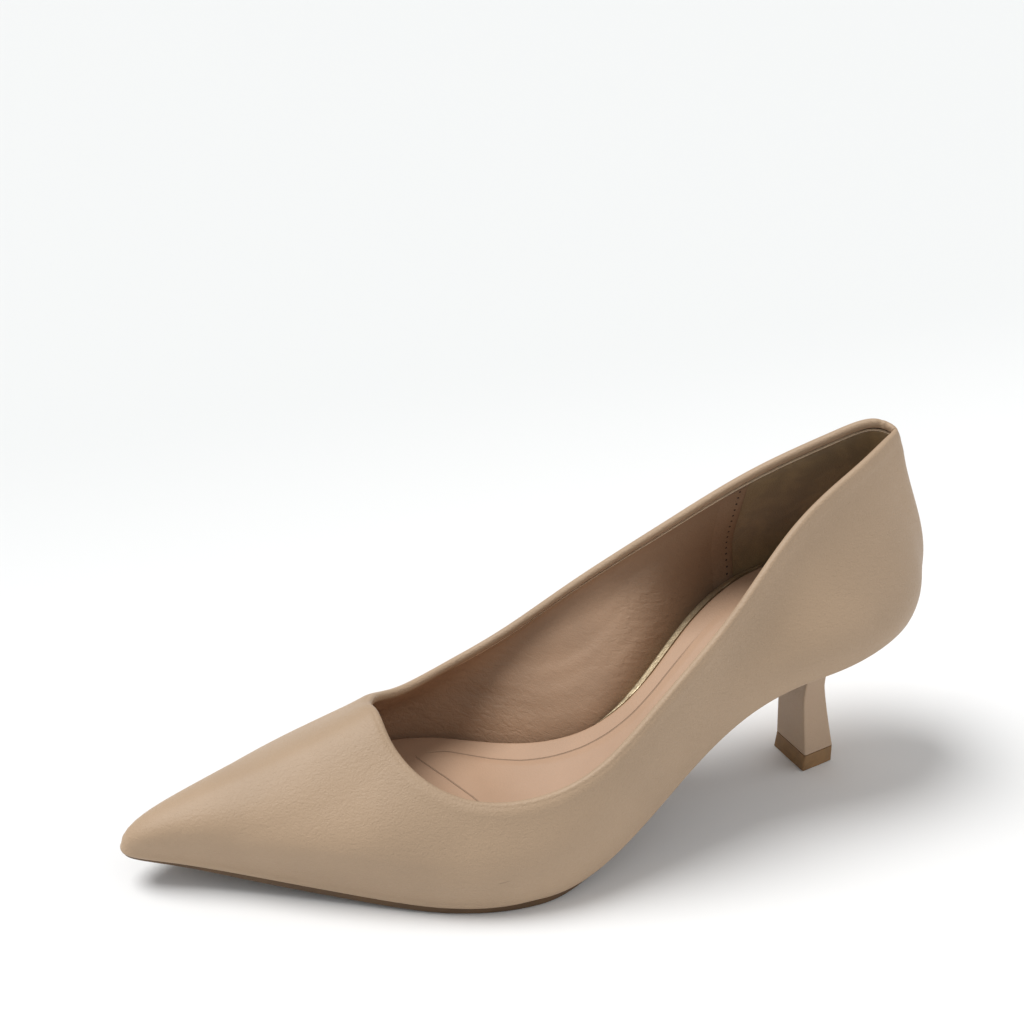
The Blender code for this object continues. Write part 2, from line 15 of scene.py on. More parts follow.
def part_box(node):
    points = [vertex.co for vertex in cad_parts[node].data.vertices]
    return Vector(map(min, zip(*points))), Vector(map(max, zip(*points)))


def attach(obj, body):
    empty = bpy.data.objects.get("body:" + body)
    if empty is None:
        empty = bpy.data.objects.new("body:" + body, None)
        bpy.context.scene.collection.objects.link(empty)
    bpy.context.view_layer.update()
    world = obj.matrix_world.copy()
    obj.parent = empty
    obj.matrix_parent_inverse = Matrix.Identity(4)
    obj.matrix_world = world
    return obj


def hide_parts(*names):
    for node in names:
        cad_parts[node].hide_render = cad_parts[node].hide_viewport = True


bl_info = {
    "name": "Kitten Heel Pump",
    "version": (1, 0, 0),
    "blender": (4, 5, 0),
    "location": "3D View > Sidebar > Pump",
    "description": "Builds a kitten heel pump with its leathers, seams and studio",
    "category": "Add Mesh",
}

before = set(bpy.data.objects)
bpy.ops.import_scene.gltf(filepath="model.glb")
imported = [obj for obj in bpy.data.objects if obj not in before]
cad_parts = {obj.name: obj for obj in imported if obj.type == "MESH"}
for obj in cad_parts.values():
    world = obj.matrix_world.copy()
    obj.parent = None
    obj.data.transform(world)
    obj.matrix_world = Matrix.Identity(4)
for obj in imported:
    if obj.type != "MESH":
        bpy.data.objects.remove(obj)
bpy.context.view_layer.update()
BODY = "root"

# The last and the shoe, in metres, as in the part's own source
LENGTH = 0.248
BALL_WIDTH = 0.078
SEAT_WIDTH = 0.055
HEEL_HEIGHT = 0.0542
TOE_SPRING = 0.0086
BACK_HEIGHT = 0.0525
THROAT_FROM_TOE = 0.0738
BACK_SET = 0.0120
WALL = 0.0018
FEATHER_RADIUS = 0.0032
MARGIN_WIDTH = 0.0095
MARGIN_SHARE = 0.42
AXIS_INSET_HEEL = 0.025
AXIS_INSET_TOE = 0.040
SOLE_THICKNESS = 0.0024
SOLE_INSET = 0.0042
INSOLE_THICKNESS = 0.0018
SOCK_THICKNESS = 0.0022
EDGE_INSET = 0.0006
GAP = 0.0003
FLAT_FROM = 0.140
FLAT_TO = 0.166
SEAT_LENGTH = 0.046
SEAT_PITCH = math.radians(10.5)
SHANK_PITCH = math.radians(37.0)
SHANK_DROP = 0.555
SPRING_CURVE = 1.35
HEEL_FRONT = 0.0395
HEEL_OFFSET = 0.0045
HEEL_TURN = math.radians(7.4)
FOOT_LENGTH = 0.0114
FOOT_WIDTH = 0.0148
FOOT_TAPER = 0.0006
NECK_LENGTH = 0.0086
NECK_WIDTH = 0.0128
NECK_HEIGHT = 0.030
NECK_SET = 0.0024
NECK_ROUNDING = 1.6
HEEL_FLARE = 3.0
HEEL_TAPER = 1.15
HEEL_INSET = 0.0030
BREAST = 0.047
LIFT_THICKNESS = 0.0058
LIFT_SPLAY = 0.0003
CORNER = 0.0011
TOE_THINS_FROM = 0.205

# How finely the pieces are drawn
PER_ROW = 16              # steps round the shoe from one table row to the next
HALF = 12 * PER_ROW       # steps from the toe point to the heel back
AROUND = 2 * HALF
WALL_STEPS = 34
CORNER_STEPS = 9
ROLL_STEPS = 14
SIDE_STEPS = 14           # along each side of the heel's plan
BEND_STEPS = 8            # round each corner of the heel's plan
HEEL_STEPS = 60
PROFILE_STEPS = 120

SOLE_ROWS = (
    # along, outer, inner, round, inset, follows
    (1.000, -0.118, -0.118, 0.58, 0.15, "ball"),
    (0.988, -0.066, -0.168, 0.60, 0.15, "ball"),
    (0.938, 0.005, -0.230, 0.78, 0.15, "ball"),
    (0.861, 0.133, -0.333, 0.95, 0.15, "ball"),
    (0.760, 0.315, -0.435, 1.00, 0.15, "ball"),
    (0.652, 0.490, -0.488, 1.00, 0.20, "ball"),
    (0.539, 0.546, -0.362, 1.00, 0.50, "ball"),
    (0.420, 0.450, -0.100, 1.00, 1.00, "ball"),
    (0.290, 0.515, -0.335, 1.00, 1.00, "seat"),
    (0.162, 0.535, -0.487, 1.00, 1.00, "seat"),
    (0.059, 0.382, -0.391, 1.00, 1.00, "seat"),
    (0.019, 0.155, -0.205, 1.00, 1.00, "seat"),
    (0.000, 0.000, 0.000, 1.00, 1.00, "seat"),
)

TOPLINE_ROWS = (
    # along, outer, inner, outer_rise, inner_rise, follows
    (1.008, -0.034, -0.034, 0.765, 0.765, "ball"),
    (1.007, 0.048, -0.108, 0.730, 0.742, "ball"),
    (0.998, 0.140, -0.184, 0.662, 0.684, "ball"),
    (0.970, 0.262, -0.276, 0.592, 0.626, "ball"),
    (0.905, 0.382, -0.365, 0.523, 0.540, "ball"),
    (0.806, 0.464, -0.433, 0.530, 0.562, "ball"),
    (0.682, 0.484, -0.454, 0.594, 0.632, "ball"),
    (0.546, 0.425, -0.405, 0.668, 0.704, "ball"),
    (0.393, 0.452, -0.455, 0.672, 0.725, "seat"),
    (0.247, 0.270, -0.329, 0.812, 0.840, "seat"),
    (0.111, 0.150, -0.220, 0.945, 0.985, "seat"),
    (0.030, 0.062, -0.150, 1.000, 1.035, "seat"),
    (0.000, -0.015, -0.015, 1.012, 1.012, "seat"),
)

WALL_ROWS = (
    # lift, lean, draw, slope
    (0.135, 0, 0.480, 66),
    (0.145, 4, 0.490, 64),
    (0.165, 5, 0.500, 60),
    (0.215, 8, 0.505, 50),
    (0.280, 12, 0.515, 38),
    (0.376, 15, 0.485, 25),
    (0.350, 12, 0.380, 14),
    (0.320, 10, 0.355, 8),
    (0.400, 15, 0.460, 5),
    (0.385, 17, 0.430, 3),
    (0.332, 19, 0.365, 4),
    (0.328, 19, 0.335, 5),
    (0.330, 16, 0.350, 7),
)

# The rolled edge and the lining's lip under it, from the lining up: millimetres below the
# topline, thickness inside the outer leather, and bulge of the outer leather
ROLL_ROWS = (
    # below, inside, bulge
    (6.40, 1.80, 0.00),
    (5.40, 1.82, 0.00),
    (4.60, 1.90, 0.01),
    (3.90, 2.04, 0.03),
    (3.40, 2.16, 0.05),
    (3.00, 2.24, 0.07),
    (2.76, 2.28, 0.09),
    (2.66, 2.26, 0.10),
    (2.58, 2.14, 0.10),
    (2.52, 1.50, 0.11),
    (2.46, 0.95, 0.11),
    (2.36, 0.80, 0.11),
    (2.22, 0.90, 0.11),
    (2.08, 1.30, 0.10),
    (1.92, 1.85, 0.09),
    (1.72, 2.32, 0.07),
    (1.48, 2.66, 0.04),
    (1.20, 2.88, 0.00),
    (0.90, 2.98, -0.06),
    (0.60, 3.02, -0.15),
    (0.30, 3.02, -0.28),
    (0.00, 3.00, -0.42),
)
# Millimetres below the topline: the top of the painted shade in the sewn groove, and the lip's cut
# edge, painted pale as a highlight
GROOVE_TOP = 1.90
LIP_FROM, LIP_TO = 2.53, 2.80

# The leather is gathered where the rolled edge turns behind the heel
GATHER_ROWS = (
    # steps past the heel back, reach in steps, depth in millimetres, share of the pinch
    (12, 2.4, 0.38, 1.0),
    (8, 1.8, 0.26, 0.6),
)
PINCH = 0.16                          # how much flatter the roll is at its gather
PINCH_FROM = 0.35 * math.pi           # turn over the roll from which it is flatter

# Where the upper's relief comes in, as (none, full): shares of the wall's height, or metres
# below the topline
WALL_FADE = (0.0, 0.15)
ROLL_FADE = (0.003, 0.010)
SEAM_FADE = (0.003, 0.005)
GATHER_FADE = (0.0022, 0.001)
SLIMMING_FADE = (0.007, 0.0)
SLIMMING_REACH = 30                   # steps from the heel back
SEAM_STEPS = 0.8                      # half width of the back seam, in steps
OUTER_PHASE, LINING_PHASE, SOCK_PHASE = 0.4, 2.1, 1.3
THIN_SOLE = (0.40, 0.20)              # shares of the sole's inset over which the corner tightens
WAVE_DEPTH = 0.00007
CORNER_FILL = 0.26                    # how far the tight corner stands out, in its own radii
MARGIN_SHARES = (1.0, 0.7, 0.35)      # places across the lasting margin, from its inner edge

# Padded sock, in millimetres: length from the heel back, and how much narrower the sock is than
# the insole on the inner side. The metallic band shows in that strip.
SOCK_EDGE_ROWS = (
    # along, narrower
    (20.0, 1.2),
    (40.0, 1.6),
    (56.0, 2.9),
    (65.0, 3.2),
    (75.0, 3.4),
    (85.0, 3.3),
    (93.0, 2.6),
    (100.0, 1.3),
    (107.0, 0.5),
    (114.0, 0.0),
)
# The pad's contour line, in millimetres
PAD_ROWS = (
    # along, from the sock's inner edge
    (12.0, 9.0),
    (50.0, 7.5),
    (75.0, 6.6),
    (84.0, 5.8),
    (92.0, 5.8),
    (100.0, 6.2),
    (106.0, 6.6),
    (113.0, 7.6),
    (120.0, 8.8),
    (126.0, 9.8),
    (133.0, 9.8),
    (145.0, 7.9),
    (154.0, 9.3),
)
# The seam across the sock's front, in millimetres: along, and across towards the outer side
FRONT_SEAM = (
    (154.3, -24.5), (149.0, -12.3), (144.8, -0.9), (141.0, 12.0), (138.5, 24.0), (137.5, 36.0)
)

# The sock's form, in metres or shares, with slopes as (none, full)
SOCK_EDGE_BAND = 0.0022               # strip along each edge with finer faces
SOCK_STRIP_SHARE = 0.4                # most of the width that the metallic band may take
SOCK_HOLLOW = 0.0006                  # how far the sock dips at its middle
SOCK_ROUNDING = 0.0011                # radius of its edges
SOCK_WAVES = 0.35                     # share of the leather's unevenness that the sock shows
SOCK_WIDENS = (0.121, 0.110)          # along the shoe, where the metallic band ends
PAD_SLOPE = (-0.0004, 0.0034)         # across the contour line
PAD_FRONT = (0.152, 0.140)            # along the shoe
PAD_OUTER_SLOPE = 0.006
PAD_SEWN_REAR = (0.064, 0.085)        # along the shoe, where the contour line fades out
PAD_SEWN_FRONT = (0.152, 0.144)
FRONT_SEWN = (-0.0255, -0.0235)       # across the shoe, where the front seam fades out

# The metallic band beside the sock, in metres
BAND_SHARE = 0.35                     # most of the width that it may take
BAND_STARTS = (0.0002, 0.0012)        # widths of the strip over which the band comes up
BAND_GAP = 0.0002                     # between the band and the sock
BAND_EDGE = 0.00035
BAND_BEVEL = 0.0006
BAND_DROP = 0.25                      # share of its rise lost at its outer edge
BAND_COLUMNS, BOARD_COLUMNS = 12, 40  # places across the band and the rest of the board

# Finer faces near a plate's edges: their places across the band, and the most of a narrow
# plate's width that a band takes
EDGE_PLACES = (0.0, 0.06, 0.18, 0.36, 0.6, 1.0)
EDGE_SHARE = 0.3

SOLE_EDGE_BAND = 0.0016
SOLE_ACROSS = 26
SOLE_START = 0.0005                   # the first full row stands this far ahead of the breast
UNDER_UPPER = 0.1 * GAP               # the drawn sole comes this close to the upper
LIFT_ROWS = (
    # height in millimetres, share of the splay
    (0.000, -1.0),
    (0.075, 0.3),
    (0.300, 1.0),
    (5.790, 0.0),
)
TINY = 1e-9                           # keeps a division by a width of nothing safe

# Line of needle holes on the inner and outer side of the lining: millimetres from the heel back
# and share of the wall's height
HOLE_ROWS = ((51.8, 0.16), (52.6, 0.28), (53.6, 0.42), (54.5, 0.60), (54.9, 0.78), (54.8, 0.90))
HOLE_CORNERS = 12
HOLE_NARROWS = 0.45                   # a hole's far radius as a share of its near one
HOLE_DEPTH = 0.00006
HOLE_PROUD = 0.00002                  # metres that a hole stands over the lining's lap

# The front lining's rear edges, each with whether it is on the outer side
LINING_EDGES = (("lining_edge_outer", True), ("lining_edge_inner", False))
# Their thickness: millimetres forward of the cut edge, then of the needle holes, and the share
# of the lap's rise
EDGE_ROWS = ((-0.2, 0.25), (0.0, 0.85), (0.3, 1.0))
LAP_ROWS = ((-1.0, 1.0), (0.0, 1.0), (1.5, 0.85), (3.0, 0.50), (4.5, 0.15), (6.0, -0.40))
LAP_SUNK = 0.0005                     # how deep the lap goes into the lining
PIECES_TOP = 0.93                     # share of the wall's height that comes just under the lip
GRIP_START = 0.0004                   # the suede starts this far behind the needle holes
GRIP_SUNK = 0.0003
GRIP_ACROSS = 90
# Rows up the wall, as (lowest share, highest share, how many)
GRIP_LOW, GRIP_HIGH = (0.04, 0.86, 22), (0.88, PIECES_TOP, 4)
EDGE_SHARES = (0.05, PIECES_TOP, 44)
HOLE_SHARES = (0.11, 0.92, 40)

# Soft wrinkles of the lining at the waist, on the inner side, in millimetres: from the heel
# back, up the wall, half length, half width, depth (ridges are negative) and slant
WRINKLE_ROWS = (
    # along, up, long, wide, depth, slant
    (128.0, 17.0, 16.0, 2.0, 0.22, 0.10),
    (124.0, 21.0, 14.0, 2.2, -0.16, 0.14),
    (117.0, 12.0, 18.0, 2.2, 0.20, 0.06),
    (112.0, 26.0, 17.0, 2.4, 0.24, 0.16),
    (106.0, 19.0, 20.0, 2.1, 0.22, 0.12),
    (103.0, 31.0, 12.0, 2.3, -0.18, 0.20),
    (98.0, 24.0, 16.0, 2.2, 0.20, 0.18),
    (93.0, 14.0, 15.0, 2.3, 0.18, 0.10),
    (88.0, 29.0, 14.0, 2.4, 0.22, 0.22),
    (82.0, 20.0, 13.0, 2.2, -0.14, 0.16),
    (76.0, 26.0, 12.0, 2.4, 0.18, 0.22),
)
# Broad softness of the outer leather, in the same terms, on the outer side
OUTER_ROWS = (
    # along, up, long, wide, depth, slant
    (196.0, 15.0, 34.0, 6.0, 0.16, -0.05),
    (176.0, 21.0, 26.0, 5.0, -0.14, -0.10),
    (150.0, 14.0, 30.0, 5.0, 0.14, 0.05),
    (120.0, 20.0, 30.0, 5.5, 0.14, 0.20),
    (62.0, 26.0, 26.0, 6.0, 0.18, 0.35),
)
# A small scrape low on the outer side of the ball, in metres in the part's frame
SCRAPE_PLACE = (0.0289, 0.0403, 0.0131)
SCRAPE_SIZE = (0.0024, 0.0100, 0.00024)
SCRAPE_TURN = math.radians(12.0)


def closed_spline(points, per_row):
    """A smooth closed curve through points, with per_row samples from each point to the next."""
    points = np.asarray(points, float)
    count = len(points)
    system = 4.0 * np.eye(count) + np.roll(np.eye(count), 1, 0) + np.roll(np.eye(count), -1, 0)
    slopes = np.linalg.solve(system, 3.0 * (np.roll(points, -1, 0) - np.roll(points, 1, 0)))
    after, slopes_after = np.roll(points, -1, 0), np.roll(slopes, -1, 0)
    samples = []
    for step in range(per_row):
        s = step / per_row
        samples.append(
            (2 * s**3 - 3 * s**2 + 1) * points
            + (s**3 - 2 * s**2 + s) * slopes
            + (3 * s**2 - 2 * s**3) * after
            + (s**3 - s**2) * slopes_after
        )
    return np.stack(samples, 1).reshape(count * per_row, -1)


def loop_of(outer_rows, inner_rows):
    """Rows from toe to heel on the outer side, then back to the toe on the inner side."""
    return np.concatenate([outer_rows, inner_rows[-2:0:-1]])


def width_of(follows):
    """The shoe's width that a row's shares are counted in."""
    return {"ball": BALL_WIDTH, "seat": SEAT_WIDTH}[follows]


def hermite(x, x0, z0, slope0, x1, z1, slope1):
    """Height at x on the curve from x0, z0 to x1, z1 that has a slope at each end."""
    run = x1 - x0
    s = (x - x0) / run
    return (
        (2 * s**3 - 3 * s**2 + 1) * z0
        + (s**3 - 2 * s**2 + s) * run * slope0
        + (3 * s**2 - 2 * s**3) * z1
        + (s**3 - s**2) * run * slope1
    )


def underside(x):
    """Height of the sole's underside along the shoe: seat, shank, flat tread and toe spring."""
    x = np.asarray(x, float)
    seat_drop = math.tan(SEAT_PITCH)
    seat_front = HEEL_HEIGHT - seat_drop * SEAT_LENGTH
    middle = 0.5 * (SEAT_LENGTH + FLAT_FROM)
    middle_height = (1.0 - SHANK_DROP) * seat_front
    seat = HEEL_HEIGHT - seat_drop * x
    shank = hermite(
        x, SEAT_LENGTH, seat_front, -seat_drop, middle, middle_height, -math.tan(SHANK_PITCH)
    )
    arch = hermite(x, middle, middle_height, -math.tan(SHANK_PITCH), FLAT_FROM, 0.0, 0.0)
    spring = TOE_SPRING * np.clip((x - FLAT_TO) / (LENGTH - FLAT_TO), 0.0, None) ** SPRING_CURVE
    return np.select(
        [x < SEAT_LENGTH, x < middle, x < FLAT_FROM, x < FLAT_TO], [seat, shank, arch, 0.0], spring
    )


def seat_slope(x):
    """Slope of the sole's underside along the shoe."""
    step = 0.0001
    return (underside(x + step) - underside(x - step)) / (2 * step)


def seat_level(x, rise=0.0):
    """Height of the upper's underside, or of a layer that lies square to it, rise further up."""
    x = np.asarray(x, float)
    return underside(x) + (SOLE_THICKNESS + rise) * np.sqrt(1.0 + seat_slope(x) ** 2)


def outward_in_plan(points):
    """Level directions square to a closed line, away from its middle."""
    along = np.roll(points[:, :2], -1, 0) - np.roll(points[:, :2], 1, 0)
    out = np.column_stack([along[:, 1], -along[:, 0], np.zeros(len(points))])
    return out / np.linalg.norm(out, axis=1)[:, None]


def around(values):
    """One table column, the same on both sides, as a smooth value for each place round the shoe."""
    column = np.array(values, float)[:, None]
    return closed_spline(loop_of(column, column), PER_ROW)[:, 0]


def smooth_step(low, high, x):
    """0 at low, 1 at high and smooth between them; low may be the larger one."""
    s = np.clip((np.asarray(x, float) - low) / (high - low), 0.0, 1.0)
    return s * s * (3.0 - 2.0 * s)


def hump(x, middle, reach):
    """A soft rise of height 1 at middle that has gone at reach from it."""
    return smooth_step(1.0, 0.0, np.abs(np.asarray(x, float) - middle) / reach)


def waves(points, phase):
    """Gentle unevenness of the leather, in metres, at points."""
    x, y, z = (points[..., k] for k in range(3))
    return WAVE_DEPTH * (
        np.sin(150.0 * x + 90.0 * z + phase)
        + np.sin(210.0 * y - 120.0 * z + 2.0 * phase)
        + np.sin(95.0 * x - 160.0 * y + 60.0 * z)
    )


class ShoeForm:
    """The upper's surfaces on fine steps round the shoe: toe, outer side, heel back, inner side."""

    def __init__(self):
        self.sole_lines()
        self.wall_profiles()
        self.outside()
        self.line()
        self.stand()

    def sole_lines(self):
        """The line of the sole's edge, the corner above it and its downward directions."""
        outer = [(along * LENGTH, y * width_of(f)) for along, y, _, _, _, f in SOLE_ROWS]
        inner = [(along * LENGTH, y * width_of(f)) for along, _, y, _, _, f in SOLE_ROWS]
        self.plan = closed_spline(loop_of(np.array(outer), np.array(inner)), PER_ROW)
        self.out = outward_in_plan(self.plan)
        self.lean = np.radians(around([row[1] for row in WALL_ROWS]))
        self.radius = FEATHER_RADIUS * around([row[3] for row in SOLE_ROWS])
        self.sole_inset = SOLE_INSET * around([row[4] for row in SOLE_ROWS])
        inset = (self.radius * np.cos(self.lean))[:, None]
        self.centres = np.column_stack([self.plan, np.zeros(AROUND)]) - inset * self.out
        self.centres[:, 2] = seat_level(self.centres[:, 0], self.radius)
        slope = seat_slope(self.centres[:, 0])
        down = np.column_stack([slope, np.zeros(AROUND), -np.ones(AROUND)])
        self.down = down / np.linalg.norm(down, axis=1)[:, None]
        self.feather = self.turned(self.lean)

    def turned(self, turn):
        """The corner's points at the angle turn below the outward direction."""
        across = (self.radius * np.cos(turn))[:, None] * self.out
        return self.centres + across + (self.radius * np.sin(turn))[:, None] * self.down

    def wall_profiles(self):
        """A curve up the wall at every step, from the corner to the topline."""
        throat = LENGTH - THROAT_FROM_TOE
        rows = []
        for along, outer, inner, outer_rise, inner_rise, follows in TOPLINE_ROWS:
            x = BACK_SET + along * (throat - BACK_SET)
            y = np.array([outer, inner]) * width_of(follows)
            rise = np.array([outer_rise, inner_rise]) * BACK_HEIGHT
            z = float(seat_level(x)) + FEATHER_RADIUS + rise
            rows.append(((x, y[0], z[0]), (x, y[1], z[1])))
        rows = np.array(rows)
        top = closed_spline(loop_of(rows[:, 0], rows[:, 1]), PER_ROW)
        top_out = outward_in_plan(top)
        chord = np.linalg.norm(top - self.feather, axis=1)
        lift = (chord * around([row[0] for row in WALL_ROWS]))[:, None]
        draw = (chord * around([row[2] for row in WALL_ROWS]))[:, None]
        slope = np.radians(around([row[3] for row in WALL_ROWS]))[:, None]
        lean = self.lean[:, None]
        up = np.array([[0.0, 0.0, 1.0]])
        first = self.feather + lift * (np.sin(lean) * self.out + np.cos(lean) * up)
        second = top + draw * (np.sin(slope) * top_out - np.cos(slope) * up)
        s = np.linspace(0.0, 1.0, PROFILE_STEPS)[None, :, None]
        self.profiles = (
            (1 - s) ** 3 * self.feather[:, None]
            + 3 * s * (1 - s) ** 2 * first[:, None]
            + 3 * s**2 * (1 - s) * second[:, None]
            + s**3 * top[:, None]
        )
        pieces = np.linalg.norm(np.diff(self.profiles, axis=1), axis=2)
        self.travelled = np.concatenate([np.zeros((AROUND, 1)), np.cumsum(pieces, 1)], 1)
        self.height = self.travelled[:, -1]

    def towards_middle(self):
        """Level vectors from each place of the corner towards the shoe's own middle line."""
        points = self.centres
        run = LENGTH - AXIS_INSET_HEEL - AXIS_INSET_TOE
        middle_x = AXIS_INSET_HEEL + points[:, 0] / LENGTH * run
        middle_y = 0.5 * (points[:, 1] + np.roll(points[::-1, 1], 1))
        return np.column_stack([middle_x - points[:, 0], middle_y - points[:, 1], np.zeros(AROUND)])

    def outside(self):
        """Columns up the outer leather: the margin, the corner, the wall and the rolled edge."""
        inward = self.towards_middle()
        reach = np.linalg.norm(inward, axis=1)
        width = np.minimum(MARGIN_WIDTH, MARGIN_SHARE * reach)
        inward = inward / reach[:, None]
        under = self.turned(np.full(AROUND, math.pi / 2))
        columns = []
        for share in MARGIN_SHARES:
            spot = under + (width * share)[:, None] * inward
            spot[:, 2] = seat_level(spot[:, 0])
            columns.append(spot)
        for step in range(CORNER_STEPS):
            turn = math.pi / 2 + (self.lean - math.pi / 2) * (step / CORNER_STEPS)
            columns.append(self.turned(turn))
        roll = np.array(ROLL_ROWS) * 0.001
        lower = np.linspace(0.0, 1.0, WALL_STEPS)[:-1]
        wanted = [share * (self.height - roll[0, 0]) for share in lower]
        wanted += [self.height - below for below in roll[:, 0]]
        wanted = np.stack(wanted, 1)
        wall = np.stack(
            [
                np.stack([np.interp(w, t, p[:, axis]) for axis in range(3)], 1)
                for w, t, p in zip(wanted, self.travelled, self.profiles)
            ]
        )
        self.corner_columns = len(columns)
        grid = np.concatenate([np.stack(columns, 1), wall], 1)
        normals = np.cross(np.roll(grid, -1, 0) - np.roll(grid, 1, 0), np.gradient(grid, axis=1))
        normals /= np.linalg.norm(normals, axis=2)[:, :, None]
        self.base, self.normals = grid, normals
        shares = wanted / self.height[:, None]
        self.share = np.concatenate([np.zeros((AROUND, len(columns))), shares], 1)
        self.below = self.height[:, None] * (1.0 - self.share)
        plain = grid.shape[1] - len(roll)
        self.thickness = np.concatenate([np.full(plain, WALL), roll[:, 1]])
        self.bulge = np.concatenate([np.zeros(plain), roll[:, 2]])
        self.soft = smooth_step(*WALL_FADE, self.share) * smooth_step(*ROLL_FADE, self.below)

    def troughs(self, rows, side):
        """Depth of the listed soft troughs and ridges on one side of the wall, in metres."""
        x, up = 1000.0 * self.base[..., 0], 1000.0 * self.share * self.height[:, None]
        depth = np.zeros(x.shape)
        for along, high, reach, wide, deep, slant in rows:
            off = up - high - slant * (x - along)
            depth += 0.001 * deep * np.exp(-((off / wide) ** 2)) * hump(x, along, reach)
        steps = np.arange(AROUND)
        wanted = steps < HALF if side == "outer" else steps > HALF
        return depth * wanted[:, None]

    def line(self):
        """The lining's face, with its wrinkles and the gather of the rolled edge."""
        steps = np.arange(AROUND)[:, None]
        ripple = waves(self.base, LINING_PHASE) - self.troughs(WRINKLE_ROWS, "inner")
        gather = sum(
            0.001 * deep * hump(steps, HALF + past, reach) for past, reach, deep, _ in GATHER_ROWS
        )
        depth = self.thickness + ripple * self.soft - gather * smooth_step(*GATHER_FADE, self.below)
        self.inside = self.base - self.normals * depth[:, :, None]

    def stand(self):
        """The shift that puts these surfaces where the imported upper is."""
        low, high = (np.array(corner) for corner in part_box("upper"))
        points = self.base.reshape(-1, 3)
        mine = 0.5 * (points.min(0) + points.max(0))
        packed = 0.5 * (low + high)
        self.shift = np.array([packed[0] - mine[0], packed[1] - mine[1], 0.0])

    def lining_point(self, step, share, proud=0.0):
        """A point on the lining at a step round the shoe and a share of the wall's height."""
        low = int(math.floor(step)) % AROUND
        high = (low + 1) % AROUND
        part = step - math.floor(step)
        spot, normal = np.zeros(3), np.zeros(3)
        for index, weight in ((low, 1.0 - part), (high, part)):
            heights = self.share[index, self.corner_columns:]
            inside = self.inside[index, self.corner_columns:]
            direction = self.normals[index, self.corner_columns:]
            for axis in range(3):
                spot[axis] += weight * np.interp(share, heights, inside[:, axis])
                normal[axis] += weight * np.interp(share, heights, direction[:, axis])
        normal /= np.linalg.norm(normal)
        return spot - proud * normal, -normal

    def lining_step(self, x, share, outer_side):
        """The step round the shoe where the lining stands x from the heel back at that height."""
        steps = np.arange(8, HALF - 3) if outer_side else np.arange(AROUND - 8, HALF + 3, -1)
        c = self.corner_columns
        places = [np.interp(share, self.share[s, c:], self.inside[s, c:, 0]) for s in steps]
        return float(np.interp(-x, -np.array(places), steps))


FORM = ShoeForm()


def quads_between(rings, joined):
    """Faces between neighbouring closed rings of equal size."""
    count, size = len(rings), len(rings[0])
    faces = []
    for r in range(count if joined else count - 1):
        after = (r + 1) % count
        for p in range(size):
            q = (p + 1) % size
            faces.append((r * size + p, r * size + q, after * size + q, after * size + p))
    return faces


def new_piece(name, vertices, faces, finishes, which=None, sharp=math.radians(50), lines=None):
    """A mesh piece in the part's own frame, closed, facing outwards and smooth."""
    mesh = bpy.data.meshes.new(name)
    placed = np.asarray(vertices, float) + FORM.shift
    mesh.from_pydata([tuple(map(float, v)) for v in placed], [], faces)
    for finish in finishes:
        mesh.materials.append(finish)
    if which is not None:
        mesh.polygons.foreach_set("material_index", which)
    for key, values in (lines or {}).items():
        mesh.attributes.new(key, "FLOAT", "POINT").data.foreach_set("value", values)
    work = bmesh.new()
    work.from_mesh(mesh)
    bmesh.ops.remove_doubles(work, verts=work.verts, dist=1e-7)
    bmesh.ops.dissolve_degenerate(work, edges=work.edges, dist=1e-8)
    bmesh.ops.recalc_face_normals(work, faces=work.faces)
    if work.calc_volume(signed=True) < 0.0:
        bmesh.ops.reverse_faces(work, faces=work.faces)
    work.to_mesh(mesh)
    work.free()
    if not mesh.polygons:
        raise RuntimeError(name + " came out empty.")
    mesh.shade_smooth()
    mesh.set_sharp_from_angle(angle=sharp)
    piece = bpy.data.objects.new(name, mesh)
    bpy.context.scene.collection.objects.link(piece)
    return piece


def slab(front, back):
    """Vertices and faces of a closed slab between two grids of equal size."""
    rows, columns = front.shape[:2]
    count = rows * columns
    vertices = np.concatenate([front.reshape(-1, 3), back.reshape(-1, 3)])
    faces = []
    for r in range(rows - 1):
        for c in range(columns - 1):
            a = r * columns + c
            faces.append((a, a + 1, a + columns + 1, a + columns))
            faces.append((count + a, count + a + columns, count + a + columns + 1, count + a + 1))
    rim = [c for c in range(columns)]
    rim += [r * columns + columns - 1 for r in range(1, rows)]
    rim += [(rows - 1) * columns + c for c in range(columns - 2, -1, -1)]
    rim += [r * columns for r in range(rows - 2, 0, -1)]
    for a, b in zip(rim, rim[1:] + rim[:1]):
        faces.append((a, count + a, count + b, b))
    return vertices, faces


def settle(piece, slot, *nodes):
    """The piece rides on the shoe and stands for CAD nodes; slot is not used."""
    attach(piece, BODY)
    if nodes:
        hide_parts(*nodes)
    return piece


class Value:
    """A socket in a Python expression: each operator adds a Math node."""

    def __init__(self, finish, socket):
        self.finish, self.socket = finish, socket

    def maths(self, operation, *operands):
        """What a Math node makes of its operands."""
        return self.finish.add("Math", {"operation": operation}, dict(enumerate(operands)))

    def __add__(self, other):
        return self.maths("ADD", self, other)

    def __rsub__(self, other):
        return self.maths("SUBTRACT", other, self)

    def __mul__(self, other):
        return self.maths("MULTIPLY", self, other)

    def __abs__(self):
        return self.maths("ABSOLUTE", self)

    __radd__ = __add__
    __rmul__ = __mul__

    def between(self, low, high):
        """0 below low, 1 above high and smooth between them."""
        settings = {"interpolation_type": "SMOOTHSTEP"}
        sockets = {"Value": self, "From Min": low, "From Max": high}
        return self.finish.add("MapRange", settings, sockets)


